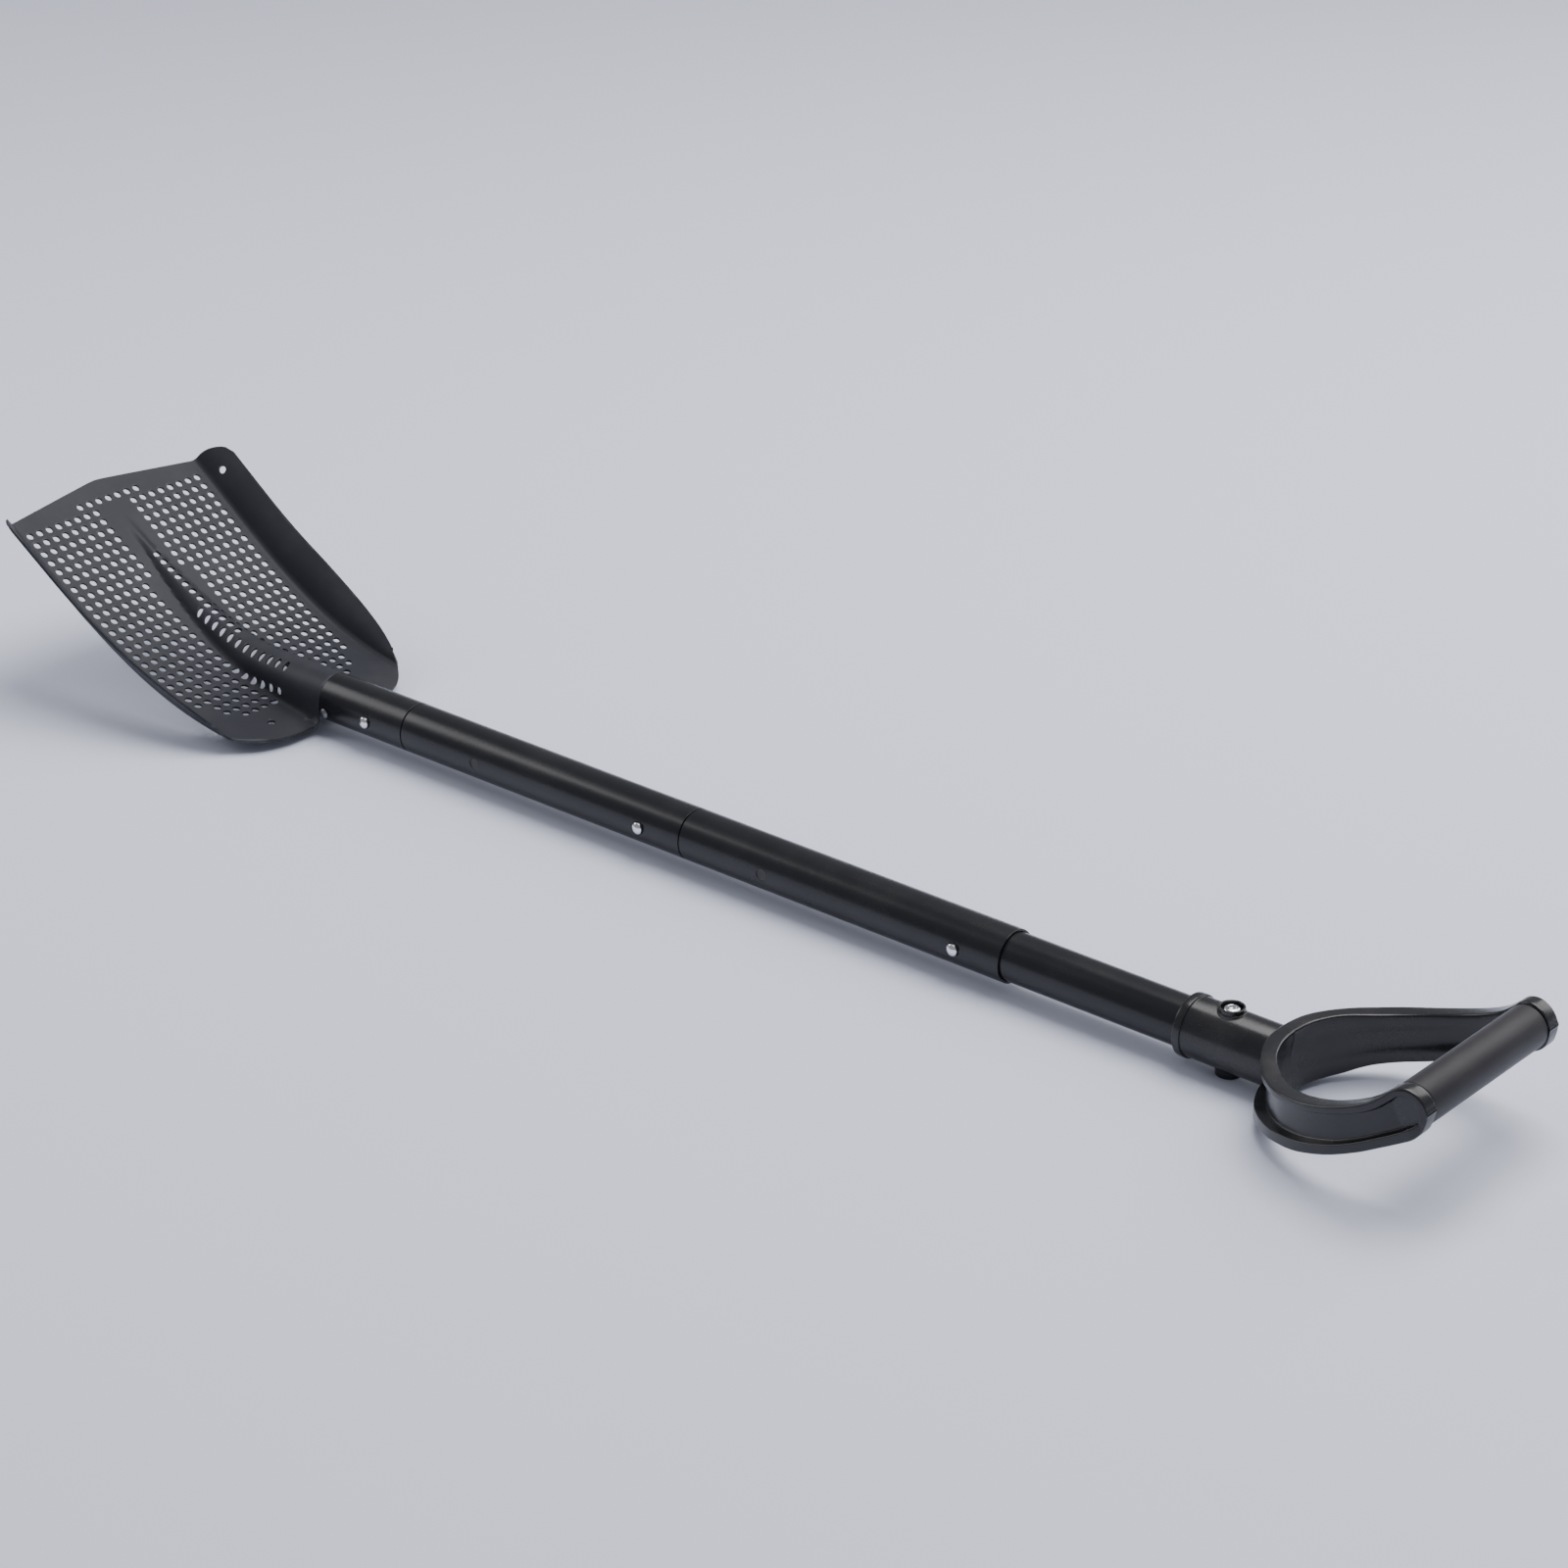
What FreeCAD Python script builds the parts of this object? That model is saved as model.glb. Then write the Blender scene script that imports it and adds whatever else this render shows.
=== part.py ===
import FreeCAD, Part
import math
import os

# Beach sand scoop: a perforated pressed blade with a rolled socket, a three-piece
# tube handle joined by sprung snap buttons, and a plastic D grip.
# Frame: +X runs along the handle towards the grip, +Y across, +Z up; the origin lies
# under the middle of the object, on the surface that it stands on. Millimetres.

V = FreeCAD.Vector
doc = FreeCAD.newDocument("SandScoop")

# ---------------------------------------------------------------- driving sizes
SIZES = {
    # handle line
    "axis_height": 21.0,        # handle axis above the ground
    "socket_mouth": -237.0,     # x of the open end of the blade's socket
    "socket_length": 73.2,      # heel edge of the blade to the socket mouth
    "seam_gap": 0.8,            # gap left between two butted handle sections
    "tube_radius": 16.0,
    "tube_bore": 14.6,
    "lower_length": 232.8,
    "upper_length": 237.8,
    # ferrules, the inner sleeves that join the sections
    "ferrule_radius": 14.4,
    "ferrule_bore": 13.2,
    "ferrule_stub": 55.0,       # reach into the section on the blade side
    "ferrule_tail": 78.0,       # reach into the section that carries it
    "weld_offset": 64.8,        # plug weld, from the end of the carrying section
    "weld_radius": 3.5,
    # grip tube
    "grip_tube_radius": 14.5,
    "grip_tube_bore": 13.2,
    "grip_tube_insert": 62.0,   # length hidden in the upper tube
    "grip_tube_show": 118.7,    # bare length between upper tube and D grip
    "grip_tube_tail": 44.5,     # length hidden in the D grip
    # snap buttons
    "button_offset": 31.4,      # button axis, back from the seam
    "button_radius": 3.7,
    "button_hole": 4.0,
    "button_proud": 3.0,        # dome height above the tube it locks
    "button_dome": 5.2,
    "button_flange": 5.4,
    "button_flange_thick": 1.0,
    "button_foot": 10.6,        # underside of the flange, from the handle axis
    "spring_width": 9.0,
    "spring_thick": 0.8,
    "spring_length": 34.0,
    # blade
    "sheet": 1.5,
    "heel_flat": 30.3,          # straight run at the heel
    "heel_slope": 8.1,          # degrees
    "heel_bend": 253.0,         # radius of the lower sweep of the pan
    "mid_slope": 26.2,          # degrees, where the two sweeps meet
    "front_bend": 440.0,        # radius of the upper sweep
    "front_slope": 34.5,        # degrees, of the straight front
    "heel_drop": 13.2,          # heel edge below the handle axis
    "blade_reach": 226.4,       # heel edge to the tip, along x
    "tip_setback": 9.5,         # how far the front corners lie behind the tip, along x
    "pan_half_front": 76.5,
    "pan_half_heel": 70.0,
    "wall_height": 23.0,
    "wall_low": 9.0,            # wall height left at the heel, before its corners are cut
    "wall_bend": 5.0,
    "wall_angle": 55.0,         # degrees from the pan
    "front_corner": 15.0,       # rounding of the wall's front top corner
    "heel_corner": 48.0,        # rounding of the pan's heel corners
    "heel_corner_half": 81.5,   # half width where that rounding starts
    "ridge_half": 20.7,
    "ridge_length": 197.0,
    "ridge_crest": 16.0,        # crest above the handle axis at the heel
    "ridge_ramp": 0.126,        # rise of the crest above the pan, per unit of x
    "ridge_blend_front": 100.0, # where the ramp gives way to a curve, from the heel edge
    "ridge_blend_back": 55.0,   # where the crest is level, from the heel edge
    "ridge_least": 0.3,         # least height, so that the sheet's section stays regular
    "ridge_half_least": 5.0,
    "ridge_spread": 111.0,      # length over which the ridge's foot widens
    "flank_share": 1.15,        # steepness of the flank: higher is gentler
    "draw_in": 0.77,            # share of the ridge's extra width that the pan gives up
    "wall_fall_front": 115.0,   # where the side walls begin to fall, from the heel edge
    "wall_fall_back": 24.0,
    "wall_fall_power": 0.6,     # of the ellipse that the wall's top follows
    "low_wall_bend": 0.92,      # share of a low wall's height that its bend takes
    # perforation
    "pitch": 7.93,
    "hole_radius": 2.5,
    "slot_length": 8.0,
    "slot_radius": 2.0,
    "hang_hole": 2.6,
    "hang_wall_back": 195.6,    # hanging holes of the walls, from the heel edge along x
    "hang_wall_lift": 10.6,     # and above the pan
    "hang_heel_run": 20.0,      # hanging holes of the heel's corners, from the heel edge
    "hang_heel_half": 39.0,
    "rivet_radius": 2.2,
    "rivet_set_in": 4.5,        # rivets of the socket, from the heel edge
    "rivet_drop": 5.0,          # and below the handle axis
    # D grip
    "grip_mouth": 352.2,        # x of the D grip's open end
    "collar_radius": 18.2,
    "collar_width": 5.0,
    "grip_socket_radius": 17.2,
    "grip_socket_bore": 14.6,
    "grip_socket_length": 52.0,
    "groove_depth": 4.0,
    "groove_lip": 4.2,
    "bar_x": 524.2,
    "bar_lift": 37.4,           # bar axis above the handle axis
    "bar_radius": 9.0,
    "sleeve_radius": 12.4,
    "sleeve_half": 54.0,
    "boss_radius": 12.6,
    # clamp screw through the D grip
    "screw_offset": 26.0,       # from the D grip's open end
    "screw_radius": 3.0,
    "screw_head": 4.6,
    "cup_radius": 7.4,
    "cup_thick": 2.6,
    "cup_seat": 17.4,           # flat pads for the cups, from the handle axis
    "nut_across": 10.0,
    "nut_thick": 4.0,
}

sheet = doc.addObject("Spreadsheet::Sheet", "Sizes")
for row, (alias, value) in enumerate(SIZES.items(), start=1):
    sheet.set(f"A{row}", alias)
    sheet.set(f"B{row}", str(value))
    sheet.setAlias(f"B{row}", alias)
doc.recompute()


def size(alias):
    """The value of one cell of the sheet."""
    return float(sheet.get(alias))


NODES = []


def keep(obj, label):
    """Give a finished sub-part its name and put it on the list of nodes."""
    obj.Label = label
    NODES.append(obj)
    return obj


def bind(obj, **formulas):
    """Bind properties of an object to formulas of the sheet's cells."""
    for prop, formula in formulas.items():
        path = prop.replace("__", ".")
        obj.setExpression(path, formula)
    return obj


ALONG_X = FreeCAD.Rotation(V(0, 1, 0), 90)
TOWARDS_MINUS_Y = FreeCAD.Rotation(V(1, 0, 0), 90)
AXIS = "Sizes.axis_height"


def rod(name, radius, length, start):
    """A cylinder along +X on the handle axis, from the formula start."""
    obj = doc.addObject("Part::Cylinder", name)
    obj.Placement = FreeCAD.Placement(V(0, 0, 0), ALONG_X)
    return bind(obj, Radius=radius, Height=length,
                Placement__Base__x=start, Placement__Base__z=AXIS)


def side_pin(name, radius, length, at_x, inner="0 mm"):
    """A cylinder that leaves the handle axis towards -Y, from the formula inner."""
    obj = doc.addObject("Part::Cylinder", name)
    obj.Placement = FreeCAD.Placement(V(0, 0, 0), TOWARDS_MINUS_Y)
    return bind(obj, Radius=radius, Height=length, Placement__Base__x=at_x,
                Placement__Base__y=f"-({inner})", Placement__Base__z=AXIS)


def upright(name, radius, height, at_x, base_z):
    """A vertical cylinder at y = 0."""
    obj = doc.addObject("Part::Cylinder", name)
    return bind(obj, Radius=radius, Height=height,
                Placement__Base__x=at_x, Placement__Base__z=base_z)


def cut(name, base, tool):
    obj = doc.addObject("Part::Cut", name)
    obj.Base, obj.Tool = base, tool
    return obj


def fuse(name, parts):
    obj = doc.addObject("Part::MultiFuse", name)
    obj.Shapes = parts
    return obj


# ---------------------------------------------------------------- handle stations
MOUTH = "Sizes.socket_mouth"
SEAMS = [
    MOUTH,
    "Sizes.socket_mouth + Sizes.lower_length",
    "Sizes.socket_mouth + Sizes.lower_length + Sizes.upper_length",
]


def tube(name, outer, bore, length, start, side_holes, more=()):
    """A handle tube: an outer rod less its bore and its holes in the -Y wall."""
    body = rod(name + "_outside", outer, length, start)
    tools = [rod(name + "_bore", bore, f"{length} + 2", f"{start} - 1"), *more]
    for number, (radius, at_x) in enumerate(side_holes):
        tools.append(side_pin(f"{name}_hole_{number}", radius, "Sizes.tube_radius + 2", at_x))
    return keep(cut(name + "_tube", body, fuse(name + "_tools", tools)), name)


def make_tubes():
    """Lower and upper tube, butted at the seams, and the thinner tube in the D grip."""
    for name, length, seam, next_seam in (
            ("lower_tube", "Sizes.lower_length", SEAMS[0], SEAMS[1]),
            ("upper_tube", "Sizes.upper_length", SEAMS[1], SEAMS[2])):
        tube(name, "Sizes.tube_radius", "Sizes.tube_bore",
             f"{length} - Sizes.seam_gap", f"{seam} + Sizes.seam_gap",
             [("Sizes.weld_radius", f"{seam} + Sizes.weld_offset"),
              ("Sizes.button_hole", f"{next_seam} - Sizes.button_offset")])
    tube("grip_tube", "Sizes.grip_tube_radius", "Sizes.grip_tube_bore",
         "Sizes.grip_tube_insert + Sizes.grip_tube_show + Sizes.grip_tube_tail",
         f"{SEAMS[2]} - Sizes.grip_tube_insert",
         [("Sizes.button_hole", f"{SEAMS[2]} - Sizes.button_offset")],
         [upright("screw_way", "Sizes.screw_radius + 0.2", "60",
                  "Sizes.grip_mouth + Sizes.screw_offset", f"{AXIS} - 30")])


def make_ferrules():
    """The two inner sleeves, each held in its section by a plug weld."""
    for name, seam in (("lower_ferrule", SEAMS[0]), ("upper_ferrule", SEAMS[1])):
        tube(name, "Sizes.ferrule_radius", "Sizes.ferrule_bore",
             "Sizes.ferrule_stub + Sizes.ferrule_tail", f"{seam} - Sizes.ferrule_stub",
             [("Sizes.button_hole", f"{seam} - Sizes.button_offset")])


def make_plug_welds():
    """Weld metal that fills the lower part of each plug hole, on the ferrule's wall."""
    for name, seam in (("lower_plug_weld", SEAMS[0]), ("upper_plug_weld", SEAMS[1])):
        at_x = f"{seam} + Sizes.weld_offset"
        slug = side_pin(name + "_slug", "Sizes.weld_radius", "Sizes.tube_radius - 0.5", at_x)
        bed = rod(name + "_bed", "Sizes.ferrule_radius", "40", f"{at_x} - 20")
        keep(cut(name + "_bead", slug, bed), name)


# ---------------------------------------------------------------- snap buttons
def make_button(name, seam):
    """A domed pin with a flange inside the sleeve: dome, stem and flange."""
    at_x = f"{seam} - Sizes.button_offset"
    tip = "(Sizes.tube_radius + Sizes.button_proud)"
    foot = "Sizes.button_foot"
    stem = side_pin(name + "_stem", "Sizes.button_radius", f"{tip} - {foot}", at_x, foot)
    ball = doc.addObject("Part::Sphere", name + "_ball")
    bind(ball, Radius="Sizes.button_dome", Placement__Base__x=at_x,
         Placement__Base__y=f"-({tip} - Sizes.button_dome)", Placement__Base__z=AXIS)
    shank = side_pin(name + "_shank", "Sizes.button_radius",
                     f"{tip} - Sizes.button_dome - {foot}", at_x, foot)
    dome = doc.addObject("Part::Common", name + "_dome")
    dome.Base, dome.Tool = stem, ball
    flange = side_pin(name + "_flange", "Sizes.button_flange",
                      "Sizes.button_flange_thick", at_x, foot)
    return keep(fuse(name + "_pin", [dome, shank, flange]), name)


def make_spring(name, seam):
    """A V of flat strip inside the sleeve: one leg under the button, one on the far wall.

    The legs meet in a small bend on the grip side of the button."""
    at_x = size("socket_mouth") - size("button_offset")
    at_x += {SEAMS[0]: 0, SEAMS[1]: size("lower_length"),
             SEAMS[2]: size("lower_length") + size("upper_length")}[seam]
    thick, wide, long = size("spring_thick"), size("spring_width"), size("spring_length")
    top = -(size("button_foot") - 0.1)
    far = math.sqrt(size("ferrule_bore") ** 2 - (wide / 2) ** 2) - 0.4
    bend_x, bend_r = at_x + long, 3.0
    outer = [V(at_x - 6, top, 0), V(at_x + 5, top, 0), V(bend_x, -bend_r, 0)]
    back = [V(bend_x, bend_r, 0), V(at_x + 5, far, 0), V(at_x - 6, far, 0)]
    nose = Part.Arc(outer[-1], V(bend_x + bend_r, 0, 0), back[0]).toShape()
    edges = [Part.makeLine(outer[0], outer[1]), Part.makeLine(outer[1], outer[2]), nose,
             Part.makeLine(back[0], back[1]), Part.makeLine(back[1], back[2])]
    line = Part.Wire(edges)
    band = line.makeOffset2D(-thick, fill=True, openResult=True, join=2)
    strip = band.extrude(V(0, 0, wide))
    spring = doc.addObject("Part::Feature", name + "_strip")
    spring.Shape = strip
    spring.Placement = FreeCAD.Placement(V(0, 0, size("axis_height") - wide / 2),
                                         FreeCAD.Rotation())
    return keep(spring, name)


# ---------------------------------------------------------------- blade
HEEL_X = size("socket_mouth") - size("socket_length")
TIP_X = HEEL_X - size("blade_reach")
AXIS_Z = size("axis_height")


def pan_profile():
    """The pan's side line from heel to tip, as (length, slope at start, bend radius)."""
    slopes = [math.radians(size(a)) for a in ("heel_slope", "mid_slope", "front_slope")]
    sweeps = [(size("heel_bend"), slopes[0], slopes[1]), (size("front_bend"), slopes[1], slopes[2])]
    parts = [(size("heel_flat"), slopes[0], None)]
    parts += [(radius * (end - start), start, radius) for radius, start, end in sweeps]
    return parts + [(1000.0, slopes[2], None)]


def pan_point(run):
    """(x, z, slope) of the pan's top at an arc length run from the heel edge."""
    x, z = HEEL_X, AXIS_Z - size("heel_drop")
    for length, slope, radius in pan_profile():
        step = min(run, length)
        if radius is None:
            x, z, end = x - step * math.cos(slope), z + step * math.sin(slope), slope
        else:
            end = slope + step / radius
            x -= radius * (math.sin(end) - math.sin(slope))
            z += radius * (math.cos(slope) - math.cos(end))
        run -= step
        if run <= 0:
            break
    return x, z, end


def run_at(x):
    """Arc length from the heel at which the pan's line reaches x (bisection)."""
    low, high = 0.0, 400.0
    for _ in range(50):
        middle = (low + high) / 2
        low, high = (middle, high) if pan_point(middle)[0] > x else (low, middle)
    return low


def pan_height(x):
    return pan_point(run_at(x))[1]


def hermite(t, z0, m0, z1, m1):
    """Cubic from z0 to z1 with end slopes m0 and m1, for t from 0 to 1."""
    return (z0 * (2 * t ** 3 - 3 * t ** 2 + 1) + m0 * (t ** 3 - 2 * t ** 2 + t)
            + z1 * (3 * t ** 2 - 2 * t ** 3) + m1 * (t ** 3 - t ** 2))


def ridge_height(x):
    """Height of the ridge's crest above the pan: a slow ramp, then level with the socket."""
    ramp = size("ridge_ramp")
    low, high = HEEL_X - size("ridge_blend_front"), HEEL_X - size("ridge_blend_back")
    tip = HEEL_X - size("ridge_length")
    top = AXIS_Z + size("ridge_crest")
    if x <= low:
        return max(size("ridge_least"), ramp * (x - tip))
    if x >= high:
        return top - pan_height(x)
    start = pan_height(low) + ramp * (low - tip)
    slope = (ramp - math.tan(pan_point(run_at(low))[2])) * (high - low)
    return hermite((x - low) / (high - low), start, slope, top, 0.0) - pan_height(x)


def ridge_half(x):
    """Half width of the ridge's foot: grows quickly from the tip and levels off."""
    length, spread = size("ridge_length"), size("ridge_spread")
    from_tip = max(0.0, x - (HEEL_X - length))
    share = math.tanh(from_tip / spread) / math.tanh(length / spread)
    return max(size("ridge_half_least"), size("ridge_half") * share)


def wall_height(x):
    """Side wall height above the pan: full in front, falling along an ellipse at the heel."""
    start, end = HEEL_X - size("wall_fall_front"), HEEL_X - size("wall_fall_back")
    t = min(1.0, max(0.0, (x - start) / (end - start)))
    return max(size("wall_low"), size("wall_height") * (1.0 - t * t) ** size("wall_fall_power"))


def pan_half(x):
    share = (x - TIP_X) / (HEEL_X - TIP_X)
    return size("pan_half_front") + share * (size("pan_half_heel") - size("pan_half_front"))


def ridge_bend(x):
    """(angle, sum of the two bend radii, flank length) of the ridge's side at x.

    The sheet turns down through the angle on the crest, runs straight along the flank and
    turns back to level on the foot."""
    high, half = ridge_height(x), ridge_half(x)
    angle = min(2 * math.atan2(high, size("flank_share") * half), math.radians(85.0))
    both = (half * math.sin(angle) - high * math.cos(angle)) / (1 - math.cos(angle))
    return angle, both, high / math.tan(angle / 2) - half


# The crest's share of the two radii makes it fit the socket's tube at the heel.
CREST_SHARE = size("tube_radius") / ridge_bend(HEEL_X)[1]


def ridge_arcs(x):
    """(angle, crest radius, foot radius, flank length) of the ridge at x."""
    angle, both, flank = ridge_bend(x)
    return angle, CREST_SHARE * both, (1 - CREST_SHARE) * both, flank


def half_section(x, depth):
    """Points of one half of the sheet's section at x, depth below its top face.

    Returns [(kind, points)], from the crest outwards, in (y, z)."""
    angle, crest_r, foot_r, flank = ridge_arcs(x)
    base, half = pan_height(x), pan_half(x)
    crest_z = base + ridge_height(x) - crest_r
    sin, cos = math.sin(angle), math.cos(angle)

    def on(centre, radius, turn):
        return centre[0] + radius * math.sin(turn), centre[1] + radius * math.cos(turn)

    crest_c = (0.0, crest_z)
    crest_end = on(crest_c, crest_r - depth, angle)
    foot_top = on(crest_c, crest_r, angle)
    foot_top = (foot_top[0] + flank * cos, foot_top[1] - flank * sin)
    foot_c = (foot_top[0] + foot_r * sin, foot_top[1] + foot_r * cos)
    foot = [on(foot_c, foot_r + depth, math.pi + turn) for turn in (angle, angle / 2, 0.0)]
    wall_r = size("wall_bend")
    rise = wall_height(x)
    turn = min(math.radians(size("wall_angle")), math.acos(max(-1.0, 1 - size("low_wall_bend") * rise / wall_r)))
    wall_c = (half, base + wall_r)
    bend = [on(wall_c, wall_r + depth, math.pi - a) for a in (0.0, turn / 2, turn)]
    left = (rise - wall_r * (1 - math.cos(turn))) / math.sin(turn)
    rim = (bend[-1][0] + left * math.cos(turn), bend[-1][1] + left * math.sin(turn))
    return crest_c, crest_end, foot, bend, rim


def section_wire(x):
    """The closed outline of the sheet across the blade at x."""
    def at(point, side):
        return V(x, side * point[0], point[1])

    def face(depth):
        centre, end, foot, bend, rim = half_section(x, depth)
        radius = math.dist(centre, end)
        edges = []
        for side in (-1, 1):
            run = [Part.Arc(*(at(p, side) for p in foot)).toShape(),
                   Part.makeLine(at(foot[2], side), at(bend[0], side)),
                   Part.Arc(*(at(p, side) for p in bend)).toShape(),
                   Part.makeLine(at(bend[2], side), at(rim, side))]
            run.insert(0, Part.makeLine(at(end, side), at(foot[0], side)))
            edges.append(run)
        crown = Part.Arc(at(end, -1), V(x, 0, centre[1] + radius), at(end, 1)).toShape()
        return edges[0][::-1] + [crown] + edges[1], rim

    top, top_rim = face(0.0)
    bottom, bottom_rim = face(size("sheet"))
    rims = [Part.makeLine(at(top_rim, side), at(bottom_rim, side)) for side in (-1, 1)]
    return Part.Wire(Part.__sortEdges__(top + bottom + rims))


def pressed_sheet():
    """Loft of the sections from the tip to the heel edge."""
    back = [0, 8, 16, 24, 32, 42, 54, 68, 84, 100, 114, 128, 142, 156, 170, 184, 196, 208, 228]
    wires = [section_wire(HEEL_X - distance) for distance in reversed(back)]
    return Part.makeLoft(wires, True, False)


def plan_trim():
    """Everything in front of the V-shaped front edge and outside the heel's corners."""
    wide, far = 130.0, 60.0
    corner_x = TIP_X + size("tip_setback")
    half = size("pan_half_front")
    front = [V(TIP_X - far, -wide, 0), V(corner_x, -wide, 0), V(corner_x, -half, 0),
             V(TIP_X, 0, 0), V(corner_x, half, 0), V(corner_x, wide, 0),
             V(TIP_X - far, wide, 0)]
    pieces = [Part.Face(Part.makePolygon(front + front[:1]))]
    radius = size("heel_corner")
    edge = size("heel_corner_half")
    for side in (-1, 1):
        block = [V(HEEL_X - radius, side * edge, 0), V(HEEL_X - radius, side * (edge - radius), 0),
                 V(HEEL_X + 5, side * (edge - radius), 0), V(HEEL_X + 5, side * (edge + 20), 0),
                 V(HEEL_X - radius, side * (edge + 20), 0)]
        face = Part.Face(Part.makePolygon(block + block[:1]))
        disc = Part.Face(Part.Wire(Part.makeCircle(radius, V(HEEL_X - radius,
                                                             side * (edge - radius), 0))))
        pieces.append(face.cut(disc))
    return [piece.extrude(V(0, 0, 200)) for piece in pieces]


def wall_front_trim():
    """The stock in front of the side walls: square to the pan, with a rounded top corner."""
    corner_x = TIP_X + size("tip_setback")
    slope = math.radians(size("front_slope"))
    foot = V(corner_x, 0, pan_height(corner_x))
    up = V(math.sin(slope), 0, math.cos(slope))
    back = V(math.cos(slope), 0, -math.sin(slope))
    radius = size("front_corner")
    high = size("wall_height") * math.cos(slope)
    start = foot + up * (high - radius)
    turn = start + back * radius
    middle = turn + (up - back) * (radius / math.sqrt(2))
    end = turn + up * radius
    outline = [Part.makeLine(foot - up * 8, start), Part.Arc(start, middle, end).toShape(),
               Part.makeLine(end, end + up * 30), Part.makeLine(end + up * 30,
                                                                end + up * 30 - back * 60),
               Part.makeLine(end + up * 30 - back * 60, foot - up * 8 - back * 60 + back * radius),
               Part.makeLine(foot - up * 8 - back * 60 + back * radius, foot - up * 8)]
    slab = Part.Face(Part.Wire(outline)).extrude(V(0, 300, 0))
    slab.translate(V(0, -150, 0))
    keep_out = Part.makeBox(200, 2 * size("pan_half_front"), 300,
                            V(TIP_X - 100, -size("pan_half_front"), -50))
    return slab.cut(keep_out)


def rolled_socket():
    """The socket: the heel's tongue rolled into a tube, with its snap-button hole."""
    start, length = HEEL_X, size("socket_length")
    outer = Part.makeCylinder(size("tube_radius"), length, V(start, 0, AXIS_Z), V(1, 0, 0))
    wall = size("tube_radius") - size("sheet")
    bore = Part.makeCylinder(wall, length + 2, V(start - 1, 0, AXIS_Z), V(1, 0, 0))
    at_x = size("socket_mouth") - size("button_offset")
    hole = Part.makeCylinder(size("button_hole"), 40, V(at_x, 0, AXIS_Z), V(0, -1, 0))
    return outer.cut(bore), hole


ROWS = range(0, 26)             # rows of holes, counted from the heel
FRONT_ROW = 25                  # the short row nearest the tip
CREST_ROWS = range(7, 19)       # rows with a round hole on the ridge's crest
SLOT_ROWS = range(0, 12)        # rows with a slot on each flank of the ridge
OUTER_COLUMN = 9


def columns(row):
    """Column numbers of one row of the pan, counted outwards from the middle."""
    if row == FRONT_ROW:
        return range(0, 4)
    first = 2 if row >= FRONT_ROW - 8 else 3
    last = {0: 7, 1: 8, 2: 8}.get(row, OUTER_COLUMN)
    return range(first, last + 1)


def row_run(row):
    """Arc length of a row from the heel edge."""
    return size("heel_flat") + (row + 1) * size("pitch")


def drawn_in(x):
    """How far the pressing of the ridge has pulled the columns towards the middle."""
    angle, crest_r, foot_r, flank = ridge_arcs(x)
    return size("draw_in") * (angle * (crest_r + foot_r) + flank - ridge_half(x))


def drill(point, normal, radius, reach=7.0):
    return Part.makeCylinder(radius, 2 * reach, point - normal * reach, normal)


def slot_cutter(point, normal, across, length, radius, reach=5.0):
    """A round-ended slot along across, through the sheet along normal."""
    along = across.cross(normal)
    half = across * (length / 2 - radius)
    corners = [point - half - along * radius, point + half - along * radius,
               point + half + along * radius, point - half + along * radius]
    ends = [point + half + across * radius, point - half - across * radius]
    wire = Part.Wire([Part.makeLine(corners[0], corners[1]),
                      Part.Arc(corners[1], ends[0], corners[2]).toShape(),
                      Part.makeLine(corners[2], corners[3]),
                      Part.Arc(corners[3], ends[1], corners[0]).toShape()])
    wire.translate(normal * -reach)
    return Part.Face(wire).extrude(normal * (2 * reach))


def pan_holes():
    """Round holes of the pan, square to it."""
    tools = []
    for row in list(ROWS):
        x, z, slope = pan_point(row_run(row))
        normal = V(math.sin(slope), 0, math.cos(slope))
        for column in columns(row):
            y = column * size("pitch") - (drawn_in(x) if column else 0.0)
            lift = 0.0 if y > ridge_half(x) else 2.0
            for side in ((1,) if column == 0 else (-1, 1)):
                tools.append(drill(V(x, side * y, z + lift), normal, size("hole_radius")))
    return tools


def ridge_holes():
    """Round holes along the crest, then slots on both flanks."""
    tools = []
    for row in CREST_ROWS:
        x, z, _ = pan_point(row_run(row))
        step = 0.5
        rise = (pan_height(x + step) + ridge_height(x + step)
                - pan_height(x - step) - ridge_height(x - step)) / (2 * step)
        normal = V(-rise, 0, 1).normalize()
        tools.append(drill(V(x, 0, z + ridge_height(x)), normal, size("hole_radius")))
    for row in SLOT_ROWS:
        x, z, _ = pan_point(row_run(row))
        angle, crest_r, foot_r, flank = ridge_arcs(x)
        turn = size("pitch") / crest_r
        middle = z + ridge_height(x) - crest_r
        for side in (-1, 1):
            normal = V(0, side * math.sin(turn), math.cos(turn))
            point = V(x, 0, middle) + normal * crest_r
            across = V(0, side * math.cos(turn), -math.sin(turn))
            tools.append(slot_cutter(point, normal, across, size("slot_length"),
                                     size("slot_radius")))
    return tools


def hanging_holes():
    """A hole in each side wall near the front, and one in each heel corner of the pan."""
    wall_x, lift = HEEL_X - size("hang_wall_back"), size("hang_wall_lift")
    turn, bend = math.radians(size("wall_angle")), size("wall_bend")
    aside = (pan_half(wall_x) + bend * math.sin(turn)
             + (lift - bend * (1 - math.cos(turn))) / math.tan(turn))
    tools = [drill(V(wall_x, side * aside, pan_height(wall_x) + lift),
                   V(0, side * math.sin(turn), -math.cos(turn)), size("hang_hole"))
             for side in (-1, 1)]
    x, z, slope = pan_point(size("hang_heel_run"))
    half = size("hang_heel_half")
    normal = V(math.sin(slope), 0, math.cos(slope))
    tools += [drill(V(x, side * half, z), normal, size("hang_hole")) for side in (-1, 1)]
    return tools


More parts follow.
